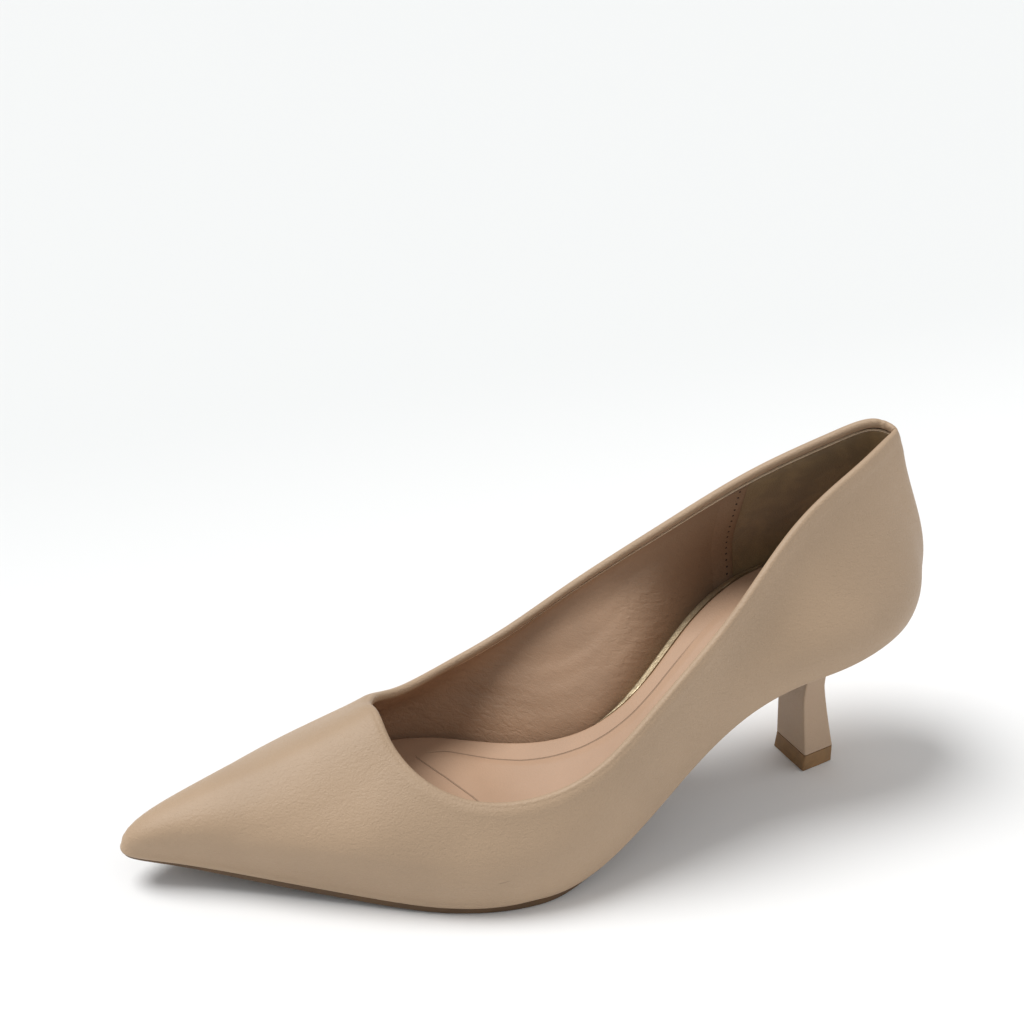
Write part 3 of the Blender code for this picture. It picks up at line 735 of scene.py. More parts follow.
class Finish:
    """A material with its shader, and one method that adds any other node."""

    def __init__(self, name, **sockets):
        self.material = bpy.data.materials.new(name)
        self.material.use_nodes = True
        self.tree = self.material.node_tree
        self.shader = self.tree.nodes["Principled BSDF"]
        for socket, value in sockets.items():
            self.feed(self.shader.inputs[socket.replace("_", " ")], value)
        self.place = self.add("TexCoord", {}, {}, "Object")

    def feed(self, socket, value):
        """Links or sets a socket."""
        if isinstance(value, Value):
            self.tree.links.new(value.socket, socket)
        elif hasattr(socket.default_value, "__len__") and len(value) < len(socket.default_value):
            socket.default_value = (*value, 1.0)
        else:
            socket.default_value = value

    def add(self, kind, settings, sockets, output=0):
        """A new node with its settings and its sockets' values or links; gives one output."""
        node = self.tree.nodes.new("ShaderNode" + kind)
        for key, value in settings.items():
            setattr(node, key, value)
        for key, value in sockets.items():
            self.feed(node.inputs[key], value)
        return Value(self, node.outputs[output])

    def stored(self, name):
        """A value kept at the mesh's points."""
        return self.add("Attribute", {"attribute_name": name}, {}, "Fac")

    def axis(self, name):
        """One coordinate of the place, in metres."""
        return self.add("SeparateXYZ", {}, {"Vector": self.place}, name)

    def noise(self, size, detail=2.0, rough=0.5, warp=0.0, place=None):
        """Noise whose blotches are about size metres across."""
        sockets = {"Vector": place or self.place, "Scale": 1.0 / size, "Detail": detail}
        sockets.update({"Roughness": rough, "Distortion": warp})
        return self.add("TexNoise", {}, sockets)

    def cells(self, size):
        """Distance to the middle of soft cells about size metres across."""
        sockets = {"Vector": self.place, "Scale": 1.0 / size}
        return self.add("TexVoronoi", {"feature": "SMOOTH_F1"}, sockets, "Distance")

    def stretched(self, scale, turn=(0.0, 0.0, 0.0)):
        """The piece's own coordinates, stretched along turned axes."""
        sockets = {"Vector": self.place, "Rotation": turn, "Scale": scale}
        return self.add("Mapping", {"vector_type": "TEXTURE"}, sockets)

    def blend(self, factor, first, second):
        """The colour first where factor is 0 and second where it is 1."""
        first = first if isinstance(first, Value) else (*first, 1.0)
        second = second if isinstance(second, Value) else (*second, 1.0)
        return self.add("Mix", {"data_type": "RGBA"}, {0: factor, 6: first, 7: second}, 2)

    def bump(self, height, distance, strength=1.0, under=None):
        """A normal raised by height times distance metres, over another normal."""
        sockets = {"Strength": strength, "Distance": distance, "Height": height}
        if under is not None:
            sockets["Normal"] = under
        return self.add("Bump", {}, sockets)

    def set(self, **sockets):
        """Feeds the shader's sockets, with _ for each space, and gives the material."""
        for socket, value in sockets.items():
            self.feed(self.shader.inputs[socket.replace("_", " ")], value)
        return self.material


def scaled(colour, factor):
    """A colour made darker or lighter."""
    return tuple(channel * factor for channel in colour[:3])


def upper_leather(name, colour, looks, scraped=False):
    """Smooth calf with a faint pebble, broad soft gloss and slight clouding."""
    finish = Finish(name, IOR=1.45, Coat_Weight=0.10, Coat_Roughness=0.38)
    cloud = finish.noise(0.035, 2.0)
    speck = finish.noise(0.0011, 2.0)
    tone = finish.blend(cloud.between(0.35, 0.65), scaled(colour, 0.965), scaled(colour, 1.03))
    tone = finish.blend(speck.between(0.55, 0.8) * 0.10, tone, scaled(colour, 0.78))
    if scraped:
        sockets = {"Vector": finish.place, "Location": SCRAPE_PLACE, "Scale": SCRAPE_SIZE}
        sockets["Rotation"] = (0.0, SCRAPE_TURN, 0.0)
        near = finish.add("Mapping", {"vector_type": "TEXTURE"}, sockets)
        far = finish.add("VectorMath", {"operation": "LENGTH"}, {0: near}, "Value")
        tone = finish.blend(far.between(1.0, 0.4) * 0.5, tone, scaled(colour, 0.55))
    pebble = finish.cells(looks.grain_size)
    pores = finish.noise(0.45 * looks.grain_size, 2.0)
    drawn = finish.stretched((1.9, 1.2, 1.0))
    creased = finish.noise(1.7 * looks.grain_size, 3.0, 0.6, 0.5, drawn)
    under = finish.bump(pebble + pores * 0.5 + creased * 1.5, looks.grain_depth, 0.5)
    drape = finish.bump(finish.noise(0.014, 1.0), 0.00040, 0.3, under)
    rough = 0.50 + 0.10 * finish.noise(0.006, 2.0)
    return finish.set(Base_Color=tone, Roughness=rough, Normal=drape)


def lining_leather(name, colour, looks):
    """Soft lining skin: a fine grain, small wavy wrinkles that run along the shoe, and painted shade
    that darkens it towards the heel's back.
    """
    finish = Finish(name, IOR=1.45, Coat_Weight=0.06, Coat_Roughness=0.4)
    cloud = finish.noise(0.02, 3.0)
    tone = finish.blend(cloud.between(0.3, 0.7), scaled(colour, 0.93), scaled(colour, 1.05))
    # Painted shade: the lining grows darker towards the heel's back.
    rear = finish.axis("X").between(-0.028, -0.066)
    tone = finish.blend(rear * 0.9, tone, scaled(colour, 0.66))
    along = finish.stretched((1.8, 1.8, 1.0), (0.0, math.radians(-12.0), 0.0))
    wrinkle = finish.noise(0.0017, 3.0, 0.55, 0.5, along)
    patches = finish.noise(0.045, 1.0).between(0.36, 0.62)
    fine = finish.cells(0.8 * looks.grain_size)
    under = finish.bump(fine, 0.4 * looks.grain_depth, 0.5)
    rough = 0.50 + 0.10 * finish.noise(0.004, 2.0)
    wavy = finish.bump(wrinkle * (0.35 + 0.65 * patches), looks.wrinkle_depth, 0.8, under)
    return finish.set(Base_Color=tone, Roughness=rough, Normal=wavy)


def sock_leather(name, colour, looks, sizes):
    """Sock leather with the sewn contour and the seam across the front as soft grooves."""
    finish = Finish(name, IOR=1.45, Coat_Weight=0.08, Coat_Roughness=0.4)
    pad, pad_sewn = finish.stored("pad_line"), finish.stored("pad_sewn")
    front, front_sewn = finish.stored("front_line"), finish.stored("front_sewn")
    cloud = finish.noise(0.03, 3.0)
    tone = finish.blend(cloud.between(0.3, 0.7), scaled(colour, 0.95), scaled(colour, 1.04))
    along = abs(pad).between(0.00036, 0.00008) * pad_sewn
    across = abs(front).between(0.00036, 0.00008) * front_sewn
    line = along.maths("MAXIMUM", along, across)
    tone = finish.blend(line * 0.45, tone, scaled(colour, 0.42))
    fine = finish.cells(looks.grain_size)
    under = finish.bump(fine, 0.4 * looks.grain_depth, 0.5)
    soft = finish.bump(finish.noise(0.010, 2.0), 0.00030, 0.3, under)
    normal = finish.bump(1.0 - line, sizes.groove_depth, 0.9, soft)
    rough = 0.47 + 0.10 * finish.noise(0.005, 2.0)
    return finish.set(Base_Color=tone, Roughness=rough, Normal=normal)


def suede_leather(name, colour):
    """Dark napped suede: brushed patches, short nap and no gloss."""
    finish = Finish(name, Sheen_Weight=0.35, Sheen_Roughness=0.5, IOR=1.35)
    brushed = finish.noise(0.012, 3.0, 0.6, 0.8)
    nap = finish.noise(0.00045, 2.0, 0.7)
    tone = finish.blend(brushed.between(0.35, 0.65), scaled(colour, 0.82), scaled(colour, 1.16))
    tone = finish.blend(nap.between(0.3, 0.7) * 0.35, tone, scaled(colour, 0.72))
    normal = finish.bump(nap, 0.00022, 0.8)
    return finish.set(Base_Color=tone, Roughness=0.93, Normal=normal)


def metallic_leather(name, colour):
    """Foil-finished leather: bright, a little crinkled, worn darker in spots."""
    finish = Finish(name, Metallic=0.85, IOR=1.45)
    crinkle = finish.noise(0.0016, 3.0, 0.6, 0.6)
    worn = finish.noise(0.0035, 3.0).between(0.56, 0.72)
    tone = finish.blend(worn * 0.45, colour, scaled(colour, 0.55))
    normal = finish.bump(crinkle, 0.00020, 0.7)
    return finish.set(Base_Color=tone, Roughness=0.30 + 0.22 * crinkle, Normal=normal)


def cut_edge(name, colour):
    """The lining lip's edge, painted pale as a highlight, with a fibrous speckle."""
    finish = Finish(name)
    fibres = finish.noise(0.0005, 2.0)
    tone = finish.blend(fibres.between(0.3, 0.7), scaled(colour, 0.85), scaled(colour, 1.08))
    return finish.set(Base_Color=tone, Roughness=0.6, Normal=finish.bump(fibres, 0.0001, 0.5))


def sole_resin(name, colour):
    """The sole's painted brown leather: fine scuffs along it and a dull, uneven shine."""
    finish = Finish(name, IOR=1.45)
    streak = finish.noise(0.0012, 3.0, 0.6, 0.2, finish.stretched((12.0, 1.0, 1.0)))
    patch = finish.noise(0.01, 3.0)
    tone = finish.blend(patch.between(0.35, 0.65), scaled(colour, 0.85), scaled(colour, 1.12))
    tone = finish.blend(streak.between(0.6, 0.75) * 0.25, tone, scaled(colour, 1.6))
    normal = finish.bump(streak, 0.00006, 0.6)
    return finish.set(Base_Color=tone, Roughness=0.42 + 0.2 * patch, Normal=normal)


def lift_plastic(name, colour):
    """Moulded brown plastic of the top lift, matt with fine rasp marks."""
    finish = Finish(name, IOR=1.45)
    rasp = finish.noise(0.0005, 2.0, 0.6, 0.0, finish.stretched((6.0, 6.0, 1.0)))
    patch = finish.noise(0.004, 2.0)
    tone = finish.blend(patch.between(0.35, 0.65), scaled(colour, 0.88), scaled(colour, 1.1))
    return finish.set(
        Base_Color=tone, Roughness=0.5 + 0.15 * patch, Normal=finish.bump(rasp, 0.00008, 0.6)
    )


def plain_dark(name, colour):
    """Painted shade for the holes and the groove: a dark colour with a fibrous speckle."""
    finish = Finish(name)
    fibres = finish.noise(0.0004, 2.0)
    return finish.set(Base_Color=finish.blend(fibres, colour, scaled(colour, 1.6)), Roughness=0.8)


def outer_relief(sizes):
    """How far the outer leather stands out from the plain form, in metres."""
    form = FORM
    steps = np.arange(AROUND)[:, None]
    ripple = waves(form.base, OUTER_PHASE) - form.troughs(OUTER_ROWS, "outer")
    relief = form.bulge + ripple * form.soft
    seam = np.exp(-(((steps - HALF) / SEAM_STEPS) ** 2)) * smooth_step(*WALL_FADE, form.share)
    relief = relief - sizes.seam_depth * seam * smooth_step(*SEAM_FADE, form.below)
    tight = smooth_step(*THIN_SOLE, form.sole_inset / SOLE_INSET) * form.radius
    turned = np.clip(np.arange(form.corner_columns) - len(MARGIN_SHARES), 0, None) / CORNER_STEPS
    relief[:, : form.corner_columns] = CORNER_FILL * tight[:, None] * np.sin(math.pi * turned)
    slimmed = hump(steps, HALF, SLIMMING_REACH) * smooth_step(*SLIMMING_FADE, form.below)
    return relief - sizes.back_slimming * slimmed


def rolled_edge(outer, inner):
    """Half rounds at every step from the topline's outer point over to its inner point."""
    middle, half = 0.5 * (outer + inner), 0.5 * (outer - inner)
    size = np.linalg.norm(half, axis=1)[:, None]
    normal = half / size
    rise = FORM.base[:, -1] - FORM.base[:, -2]
    rise -= (rise * normal).sum(1)[:, None] * normal
    rise /= np.linalg.norm(rise, axis=1)[:, None]
    steps = np.arange(AROUND)
    gather = sum(share * hump(steps, HALF + past, reach) for past, reach, _, share in GATHER_ROWS)
    pinch = 1.0 - PINCH * gather[:, None]
    rounds = []
    for step in range(1, ROLL_STEPS):
        turn = math.pi * step / ROLL_STEPS
        wide = pinch if turn > PINCH_FROM else 1.0
        rounds.append(middle + size * wide * (math.cos(turn) * normal + math.sin(turn) * rise))
    return np.stack(rounds, 1)


def upper_rings(sizes):
    """Closed rings round the wall at every step: outside, rolled edge, inside."""
    outside = FORM.base + FORM.normals * outer_relief(sizes)[:, :, None]
    roll = rolled_edge(outside[:, -1], FORM.inside[:, -1])
    return np.concatenate([outside, roll, FORM.inside[:, ::-1]], 1)


def upper_finish_numbers():
    """Which finish each face round a ring takes: leather 0, lining 1, the lip's edge with its
    painted highlight 2, the groove's painted shade 3.
    """
    below = 1000.0 * FORM.below[0, ::-1]
    columns = len(below)
    start = columns + ROLL_STEPS - 1
    numbers = np.zeros(start + columns, int)
    for k in range(columns - 1):
        middle = 0.5 * (below[k] + below[k + 1])
        if middle > LIP_TO:
            numbers[start + k] = 1
        # The lip's edge takes a painted highlight.
        elif middle > LIP_FROM:
            numbers[start + k] = 2
        # The groove takes painted shade.
        elif middle > GROOVE_TOP:
            numbers[start + k] = 3
    numbers[-1] = 1
    return numbers


def build_upper(sizes, looks):
    """The upper with its lining, rolled edge, groove and lip; painted shade darkens the groove and a
    painted highlight lightens the lip's edge.
    """
    rings = upper_rings(sizes)
    finishes = [
        upper_leather("upper_calf", looks.upper, looks, scraped=True),
        lining_leather("lining_skin", looks.lining, looks),
        # A painted highlight for the lip's edge, and painted shade for the groove.
        cut_edge("lining_lip_painted_highlight", looks.cut_edge),
        plain_dark("groove_shade", looks.groove),
    ]
    faces = quads_between(rings, joined=True)
    numbers = np.tile(upper_finish_numbers(), AROUND)
    piece = new_piece("upper_leather", rings.reshape(-1, 3), faces, finishes, numbers)
    return settle(piece, "upper", "upper")


def hole_x(share):
    """How far from the heel back the needle holes stand at a share of the wall's height."""
    rows = np.array(HOLE_ROWS)
    return 0.001 * np.interp(share, rows[:, 1], rows[:, 0])


def under_lip(sizes, step, share):
    """A share of the wall's height at a step, with the pieces' top share kept under the lip."""
    height = float(np.interp(step, np.arange(AROUND), FORM.height))
    return share * (1.0 - sizes.lip_depth / height) / PIECES_TOP


def build_heel_grip(sizes, looks):
    """The suede lining that cups the heel, under the front lining's edge."""
    front, back = [], []
    for share in np.concatenate([np.linspace(*GRIP_LOW), np.linspace(*GRIP_HIGH)]):
        first = FORM.lining_step(hole_x(share) - GRIP_START, share, outer_side=True)
        last = FORM.lining_step(hole_x(share) - GRIP_START, share, outer_side=False)
        near, far = [], []
        for step in np.linspace(first, last, GRIP_ACROSS):
            spot, inward = FORM.lining_point(step, under_lip(sizes, step, share))
            near.append(spot + inward * sizes.suede_thickness)
            far.append(spot - inward * GRIP_SUNK)
        front.append(near)
        back.append(far)
    vertices, faces = slab(np.array(front), np.array(back))
    piece = new_piece("heel_grip", vertices, faces, [suede_leather("grip_suede", looks.suede)])
    return settle(piece, "upper")


def build_lining_edges(sizes, looks):
    """The front lining's rear edge, which laps over the suede on each side."""
    finish = lining_leather("lining_edge_skin", looks.lining, looks)
    rows = [(0.001 * offset - sizes.hole_setback, rise) for offset, rise in EDGE_ROWS]
    rows += [(0.001 * offset, rise) for offset, rise in LAP_ROWS]
    made = []
    for name, outer_side in LINING_EDGES:
        front, back = [], []
        for share in np.linspace(*EDGE_SHARES):
            near, far = [], []
            for offset, rise in rows:
                step = FORM.lining_step(hole_x(share) + offset, share, outer_side)
                spot, inward = FORM.lining_point(step, under_lip(sizes, step, share))
                near.append(spot + inward * rise * sizes.lap_thickness)
                far.append(spot - inward * LAP_SUNK)
            front.append(near)
            back.append(far)
        vertices, faces = slab(np.array(front), np.array(back))
        made.append(settle(new_piece(name, vertices, faces, [finish]), "upper"))
    return made


def hole_tree(finish):
    """Geometry nodes that set a dark cone, painted shade for a needle hole, at every spacing along a
    curve.
    """
    tree = bpy.data.node_groups.new("NeedleHoles", "GeometryNodeTree")
    face = tree.interface
    face.new_socket("Geometry", in_out="INPUT", socket_type="NodeSocketGeometry")
    for name in ("Spacing", "Radius", "Depth"):
        face.new_socket(name, in_out="INPUT", socket_type="NodeSocketFloat")
    face.new_socket("Lining", in_out="INPUT", socket_type="NodeSocketObject")
    face.new_socket("Geometry", in_out="OUTPUT", socket_type="NodeSocketGeometry")

    def node(kind, **settings):
        """A new node with its settings."""
        made = tree.nodes.new(kind)
        for key, value in settings.items():
            setattr(made, key, value)
        return made

    start, end = node("NodeGroupInput"), node("NodeGroupOutput")
    resample = node("GeometryNodeResampleCurve", mode="LENGTH")
    info = node("GeometryNodeObjectInfo", transform_space="RELATIVE")
    normal = node("GeometryNodeInputNormal")
    nearest = node("GeometryNodeSampleNearestSurface", data_type="FLOAT_VECTOR")
    turn = node("FunctionNodeAlignRotationToVector", axis="Z")
    cone = node("GeometryNodeMeshCone")
    cone.inputs["Vertices"].default_value = HOLE_CORNERS
    points = node("GeometryNodeCurveToPoints", mode="EVALUATED")
    place = node("GeometryNodeInstanceOnPoints")
    real = node("GeometryNodeRealizeInstances")
    dress = node("GeometryNodeSetMaterial")
    dress.inputs["Material"].default_value = finish
    narrow = node("ShaderNodeMath", operation="MULTIPLY")
    narrow.inputs[1].default_value = HOLE_NARROWS
    wires = (
        (start, "Geometry", resample, "Curve"),
        (start, "Spacing", resample, "Length"),
        (resample, "Curve", points, "Curve"),
        (start, "Lining", info, "Object"),
        (info, "Geometry", nearest, "Mesh"),
        (normal, "Normal", nearest, "Value"),
        (nearest, "Value", turn, "Vector"),
        (start, "Radius", cone, "Radius Bottom"),
        (start, "Radius", narrow, 0),
        (narrow, "Value", cone, "Radius Top"),
        (start, "Depth", cone, "Depth"),
        (points, "Points", place, "Points"),
        (cone, "Mesh", place, "Instance"),
        (turn, "Rotation", place, "Rotation"),
        (place, "Instances", real, "Geometry"),
        (real, "Geometry", dress, "Geometry"),
        (dress, "Geometry", end, "Geometry"),
    )
    for source, output, target, socket in wires:
        tree.links.new(source.outputs[output], target.inputs[socket])
    return tree


def hole_line(name, sizes, outer_side):
    """A curve on the lining along which the needle holes stand."""
    line = bpy.data.curves.new(name, "CURVE")
    line.dimensions = "3D"
    spline = line.splines.new("POLY")
    spots = []
    for share in np.linspace(*HOLE_SHARES):
        step = FORM.lining_step(hole_x(share), share, outer_side)
        spot, inward = FORM.lining_point(step, share)
        spots.append(spot + inward * (sizes.lap_thickness + HOLE_PROUD) + FORM.shift)
    spline.points.add(len(spots) - 1)
    for point, spot in zip(spline.points, spots):
        point.co = (*spot, 1.0)
    carrier = bpy.data.objects.new(name + "_line", line)
    bpy.context.scene.collection.objects.link(carrier)
    return carrier


def build_needle_holes(sizes, looks):
    """The rows of needle holes along the front lining's rear edges, as dark cones of painted shade.
    """
    tree = hole_tree(plain_dark("hole_shade", looks.hole))
    made = []
    for edge, outer_side in LINING_EDGES:
        name = edge.replace("lining_edge", "needle_holes")
        lining = bpy.data.objects.get(edge)
        if lining is None:
            raise RuntimeError("The lining edges are built before the needle holes.")
        carrier = hole_line(name, sizes, outer_side)
        repeat = carrier.modifiers.new("Holes", "NODES")
        repeat.node_group = tree
        values = {
            "Spacing": sizes.hole_spacing,
            "Radius": sizes.hole_radius,
            "Depth": HOLE_DEPTH,
            "Lining": lining,
        }
        for item in tree.interface.items_tree:
            if item.in_out == "INPUT" and item.name in values:
                repeat[item.identifier] = values[item.name]
        graph = bpy.context.evaluated_depsgraph_get()
        graph.update()
        mesh = bpy.data.meshes.new_from_object(carrier.evaluated_get(graph), depsgraph=graph)
        mesh.name = name
        bpy.data.objects.remove(carrier)
        piece = bpy.data.objects.new(name, mesh)
        bpy.context.scene.collection.objects.link(piece)
        made.append(settle(piece, "upper"))
    return made


def side_rows(first, last, inset=0.0):
    """Pairs of edge points of the corner's line, outer and inner, from row first to row last."""
    edge = FORM.centres + (FORM.radius - WALL - inset)[:, None] * FORM.out
    rows = np.arange(first, last + 1)
    return edge[rows].copy(), edge[-rows].copy()


def spread(width, edge, across):
    """Distances across a width, crowded within edge of both ends."""
    near = np.array(EDGE_PLACES)
    band = np.minimum(edge, EDGE_SHARE * width)[:, None]
    middle = np.linspace(0.0, 1.0, across)[None, 1:-1]
    inner = band + middle * (width[:, None] - 2.0 * band)
    return np.concatenate([band * near, inner, width[:, None] - band * near[::-1]], 1)


def plate(starts, ends, distances, top, bottom, heel_end=True):
    """Rings round a curved plate; distances run from the inner edge, top and bottom give heights."""
    width = np.linalg.norm(ends - starts, axis=1)[:, None]
    share = (distances / np.maximum(width, TINY))[:, :, None]
    plan = ends[:, None] + (starts - ends)[:, None] * share
    x, y = plan[..., 0], plan[..., 1]
    upper, lower = plan.copy(), plan.copy()
    upper[..., 2] = top(x, y, distances, width)
    lower[..., 2] = bottom(x, y, distances, width)
    rings = np.concatenate([upper, lower[:, ::-1]], 1)
    tip = rings[:1].copy()
    half = distances.shape[1]
    tip[0, :half] = upper[0, half // 2]
    tip[0, half:] = lower[0, half // 2]
    rings = np.concatenate([tip, rings])
    faces = quads_between(rings, joined=False)
    if not heel_end:
        size = rings.shape[1]
        faces.append(tuple((len(rings) - 1) * size + k for k in range(size)))
    return rings, faces


def rounded(distance, width, radius):
    """How much a rounded edge drops near both ends of a width."""
    near = np.minimum(distance, width - distance)
    depth = np.clip(radius - near, 0.0, radius)
    return radius - np.sqrt(np.maximum(radius**2 - depth**2, 0.0))


def sock_narrowing(x):
    """How much narrower the sock is than the insole on the inner side."""
    rows = 0.001 * np.array(SOCK_EDGE_ROWS)
    soft = smooth_step(*SOCK_WIDENS, x)
    return np.interp(x, rows[:, 0], rows[:, 1]) * np.where(x > rows[-1, 0], soft, 1.0)


def pad_line(x, distance):
    """Distance inside the pad's contour line, at a distance from the sock's inner edge."""
    rows = 0.001 * np.array(PAD_ROWS)
    return distance - np.interp(x, rows[:, 0], rows[:, 1])


def front_line(x, y):
    """Distance in front of the seam across the sock's front."""
    rows = 0.001 * np.array(FRONT_SEAM)
    return x - np.interp(y, rows[:, 1], rows[:, 0])


def build_sock(sizes, looks):
    """The padded sock: rounded edge, pad raised inside its contour line, seam across the front."""
    starts, ends = side_rows(2 * PER_ROW, HALF, EDGE_INSET)
    width = np.linalg.norm(ends - starts, axis=1)
    narrower = np.minimum(sock_narrowing(ends[:, 0]), SOCK_STRIP_SHARE * width)
    ends += (starts - ends) * (narrower / np.maximum(width, TINY))[:, None]
    width = np.linalg.norm(ends - starts, axis=1)
    distances = spread(width, SOCK_EDGE_BAND, sizes.sock_across)
    floor = WALL + GAP + INSOLE_THICKNESS + GAP

    def top(x, y, distance, width):
        share = distance / np.maximum(width, TINY)
        height = seat_level(x, floor + SOCK_THICKNESS)
        height = height - SOCK_HOLLOW * np.sin(math.pi * share) ** 2
        height = height - rounded(distance, width, SOCK_ROUNDING)
        raised = smooth_step(*PAD_SLOPE, pad_line(x, distance)) * smooth_step(*PAD_FRONT, x)
        raised = raised * smooth_step(0.0, PAD_OUTER_SLOPE, width - distance)
        height = height + sizes.pad_rise * raised
        return height + SOCK_WAVES * waves(np.stack([x, y, height], -1), SOCK_PHASE)

    def bottom(x, y, distance, width):
        return seat_level(x, floor)

    rings, faces = plate(starts, ends, distances, top, bottom)
    spots = rings.reshape(-1, 3)
    x, y = spots[:, 0], spots[:, 1]
    half = distances.shape[1]
    spans = np.concatenate([distances, distances[:, ::-1]], 1)
    spans = np.concatenate([np.full_like(spans[:1], spans[0, half // 2]), spans])
    lines = {
        "pad_line": pad_line(x, spans.reshape(-1)),
        "pad_sewn": smooth_step(*PAD_SEWN_REAR, x) * smooth_step(*PAD_SEWN_FRONT, x),
        "front_line": front_line(x, y),
        "front_sewn": smooth_step(*FRONT_SEWN, y),
    }
    finish = sock_leather("sock_calf", looks.sock, looks, sizes)
    piece = new_piece("sock_pad", spots, faces, [finish], lines=lines)
    return settle(piece, "sock", "sock")


def build_insole(sizes, looks):
    """The insole board under its metallic leather, which comes up beside the sock's inner edge."""
    starts, ends = side_rows(2 * PER_ROW, HALF, EDGE_INSET)
    width = np.linalg.norm(ends - starts, axis=1)
    floor = WALL + GAP
    narrower = np.minimum(sock_narrowing(ends[:, 0]), BAND_SHARE * width)[:, None]
    inner = narrower * np.linspace(0.0, 1.0, BAND_COLUMNS)
    outward = np.linspace(0.0, 1.0, BOARD_COLUMNS)[1:]
    rest = narrower + (width[:, None] - narrower) * outward
    distances = np.concatenate([inner, rest], 1)

    def top(x, y, distance, width):
        strip = np.minimum(sock_narrowing(x), BAND_SHARE * width)
        rise = sizes.band_rise * smooth_step(*BAND_STARTS, strip)
        cover = smooth_step(0.0, BAND_EDGE, strip - BAND_GAP - distance)
        round_off = 1.0 - BAND_DROP * smooth_step(BAND_BEVEL, 0.0, distance)
        return seat_level(x, floor + INSOLE_THICKNESS) + rise * cover * round_off

    def bottom(x, y, distance, width):
        return seat_level(x, floor)

    rings, faces = plate(starts, ends, distances, top, bottom)
    finish = metallic_leather("band_metallic", looks.band)
    piece = new_piece("insole_board", rings.reshape(-1, 3), faces, [finish])
    return settle(piece, "insole", "insole")


def build_outsole(sizes, looks):
    """The thin brown sole with its rounded edge, up to the heel's breast."""
    edge = FORM.feather - FORM.sole_inset[:, None] * FORM.out
    breast = BREAST + GAP
    rows = [k for k in range(1, HALF) if min(edge[k, 0], edge[-k, 0]) > breast + SOLE_START]
    starts = np.concatenate([edge[rows], [[breast, edge[rows[-1], 1], 0.0]]])
    ends = np.concatenate([edge[[-k for k in rows]], [[breast, edge[-rows[-1], 1], 0.0]]])
    distances = spread(np.linalg.norm((ends - starts)[:, :2], axis=1), SOLE_EDGE_BAND, SOLE_ACROSS)
    starts[:, 2] = ends[:, 2] = 0.0

    def top(x, y, distance, width):
        return seat_level(x, -UNDER_UPPER)

    def bottom(x, y, distance, width):
        thinner = sizes.toe_thinning * smooth_step(TOE_THINS_FROM, LENGTH, x)
        edge_round = rounded(distance, width, sizes.sole_rounding)
        return seat_level(x, -SOLE_THICKNESS) + thinner + edge_round

    rings, faces = plate(starts, ends, distances, top, bottom, heel_end=False)
    finish = sole_resin("sole_leather", looks.sole)
    piece = new_piece("sole_piece", rings.reshape(-1, 3), faces, [finish])
    return settle(piece, "outsole", "outsole")


def bend(start, corner, end, steps):
    """Points of a quadratic curve from start towards end, the end itself left out."""
    start, corner, end = (np.asarray(p, float) for p in (start, corner, end))
    shares = [step / steps for step in range(steps)]
    return [(1 - s) ** 2 * start + 2 * s * (1 - s) * corner + s**2 * end for s in shares]


def straight(start, end, steps):
    """Points from start towards end, the end itself left out."""
    start, end = np.asarray(start, float), np.asarray(end, float)
    return [start + (end - start) * step / steps for step in range(steps)]


def foot_outline(length, width, taper, corner):
    """Plan of the heel's column: a rectangle with rounded corners, from the front middle round."""
    front, back = HEEL_FRONT, HEEL_FRONT - length
    outer, outer_back = HEEL_OFFSET + 0.5 * width, HEEL_OFFSET + 0.5 * width - taper
    inner, inner_back = HEEL_OFFSET - 0.5 * width, HEEL_OFFSET - 0.5 * width + taper
    c = corner
    path = bend((front, outer - c), (front, outer), (front - c, outer), BEND_STEPS)
    path += straight((front - c, outer), (back + c, outer_back), SIDE_STEPS)
    path += bend((back + c, outer_back), (back, outer_back), (back, outer_back - c), BEND_STEPS)
    path += straight((back, outer_back - c), (back, inner_back + c), SIDE_STEPS)
    path += bend((back, inner_back + c), (back, inner_back), (back + c, inner_back), BEND_STEPS)
    path += straight((back + c, inner_back), (front - c, inner), SIDE_STEPS)
    path += bend((front - c, inner), (front, inner), (front, inner + c), BEND_STEPS)
    path += straight((front, inner + c), (front, outer - c), SIDE_STEPS)
    middle = np.array([HEEL_FRONT - 0.5 * FOOT_LENGTH, HEEL_OFFSET])
    across, along = math.sin(HEEL_TURN), math.cos(HEEL_TURN)
    return middle + (np.array(path) - middle) @ np.array([[along, across], [-across, along]])


def seat_outline():
    """Plan of the heel's top, point for point like foot_outline: the seat, cut at the breast."""
    edge = (FORM.feather - HEEL_INSET * FORM.out)[:, :2]
    half = HALF // 2
    body = np.array([p for p in edge[half : HALF + half + 1] if p[0] < BREAST])
    outer, inner = (BREAST, body[0][1]), (BREAST, body[-1][1])
    c = 2 * CORNER
    body = np.array([(BREAST - c, outer[1]), *body, (BREAST - c, inner[1])])
    pieces = np.linalg.norm(np.diff(body, axis=0), axis=1)
    travelled = np.concatenate([[0.0], np.cumsum(pieces)])
    count = 3 * SIDE_STEPS + 2 * BEND_STEPS
    wanted = np.linspace(0.0, travelled[-1], count + 1)[:-1]
    sides = [np.array([np.interp(w, travelled, body[:, k]) for k in range(2)]) for w in wanted]
    path = bend((BREAST, outer[1] - c), outer, (BREAST - c, outer[1]), BEND_STEPS) + sides
    path += bend((BREAST - c, inner[1]), inner, (BREAST, inner[1] + c), BEND_STEPS)
    path += straight((BREAST, inner[1] + c), (BREAST, outer[1] - c), SIDE_STEPS)
    return np.array(path)


def closed_by_ends(name, rings, finish):
    """A piece skinned over closed rings, with a flat face at each end."""
    size, last = len(rings[0]), (len(rings) - 1) * len(rings[0])
    faces = quads_between(rings, joined=False)
    faces.append(tuple(range(size)))
    faces.append(tuple(last + k for k in range(size)))
    return new_piece(name, np.array(rings).reshape(-1, 3), faces, [finish], sharp=math.radians(40))


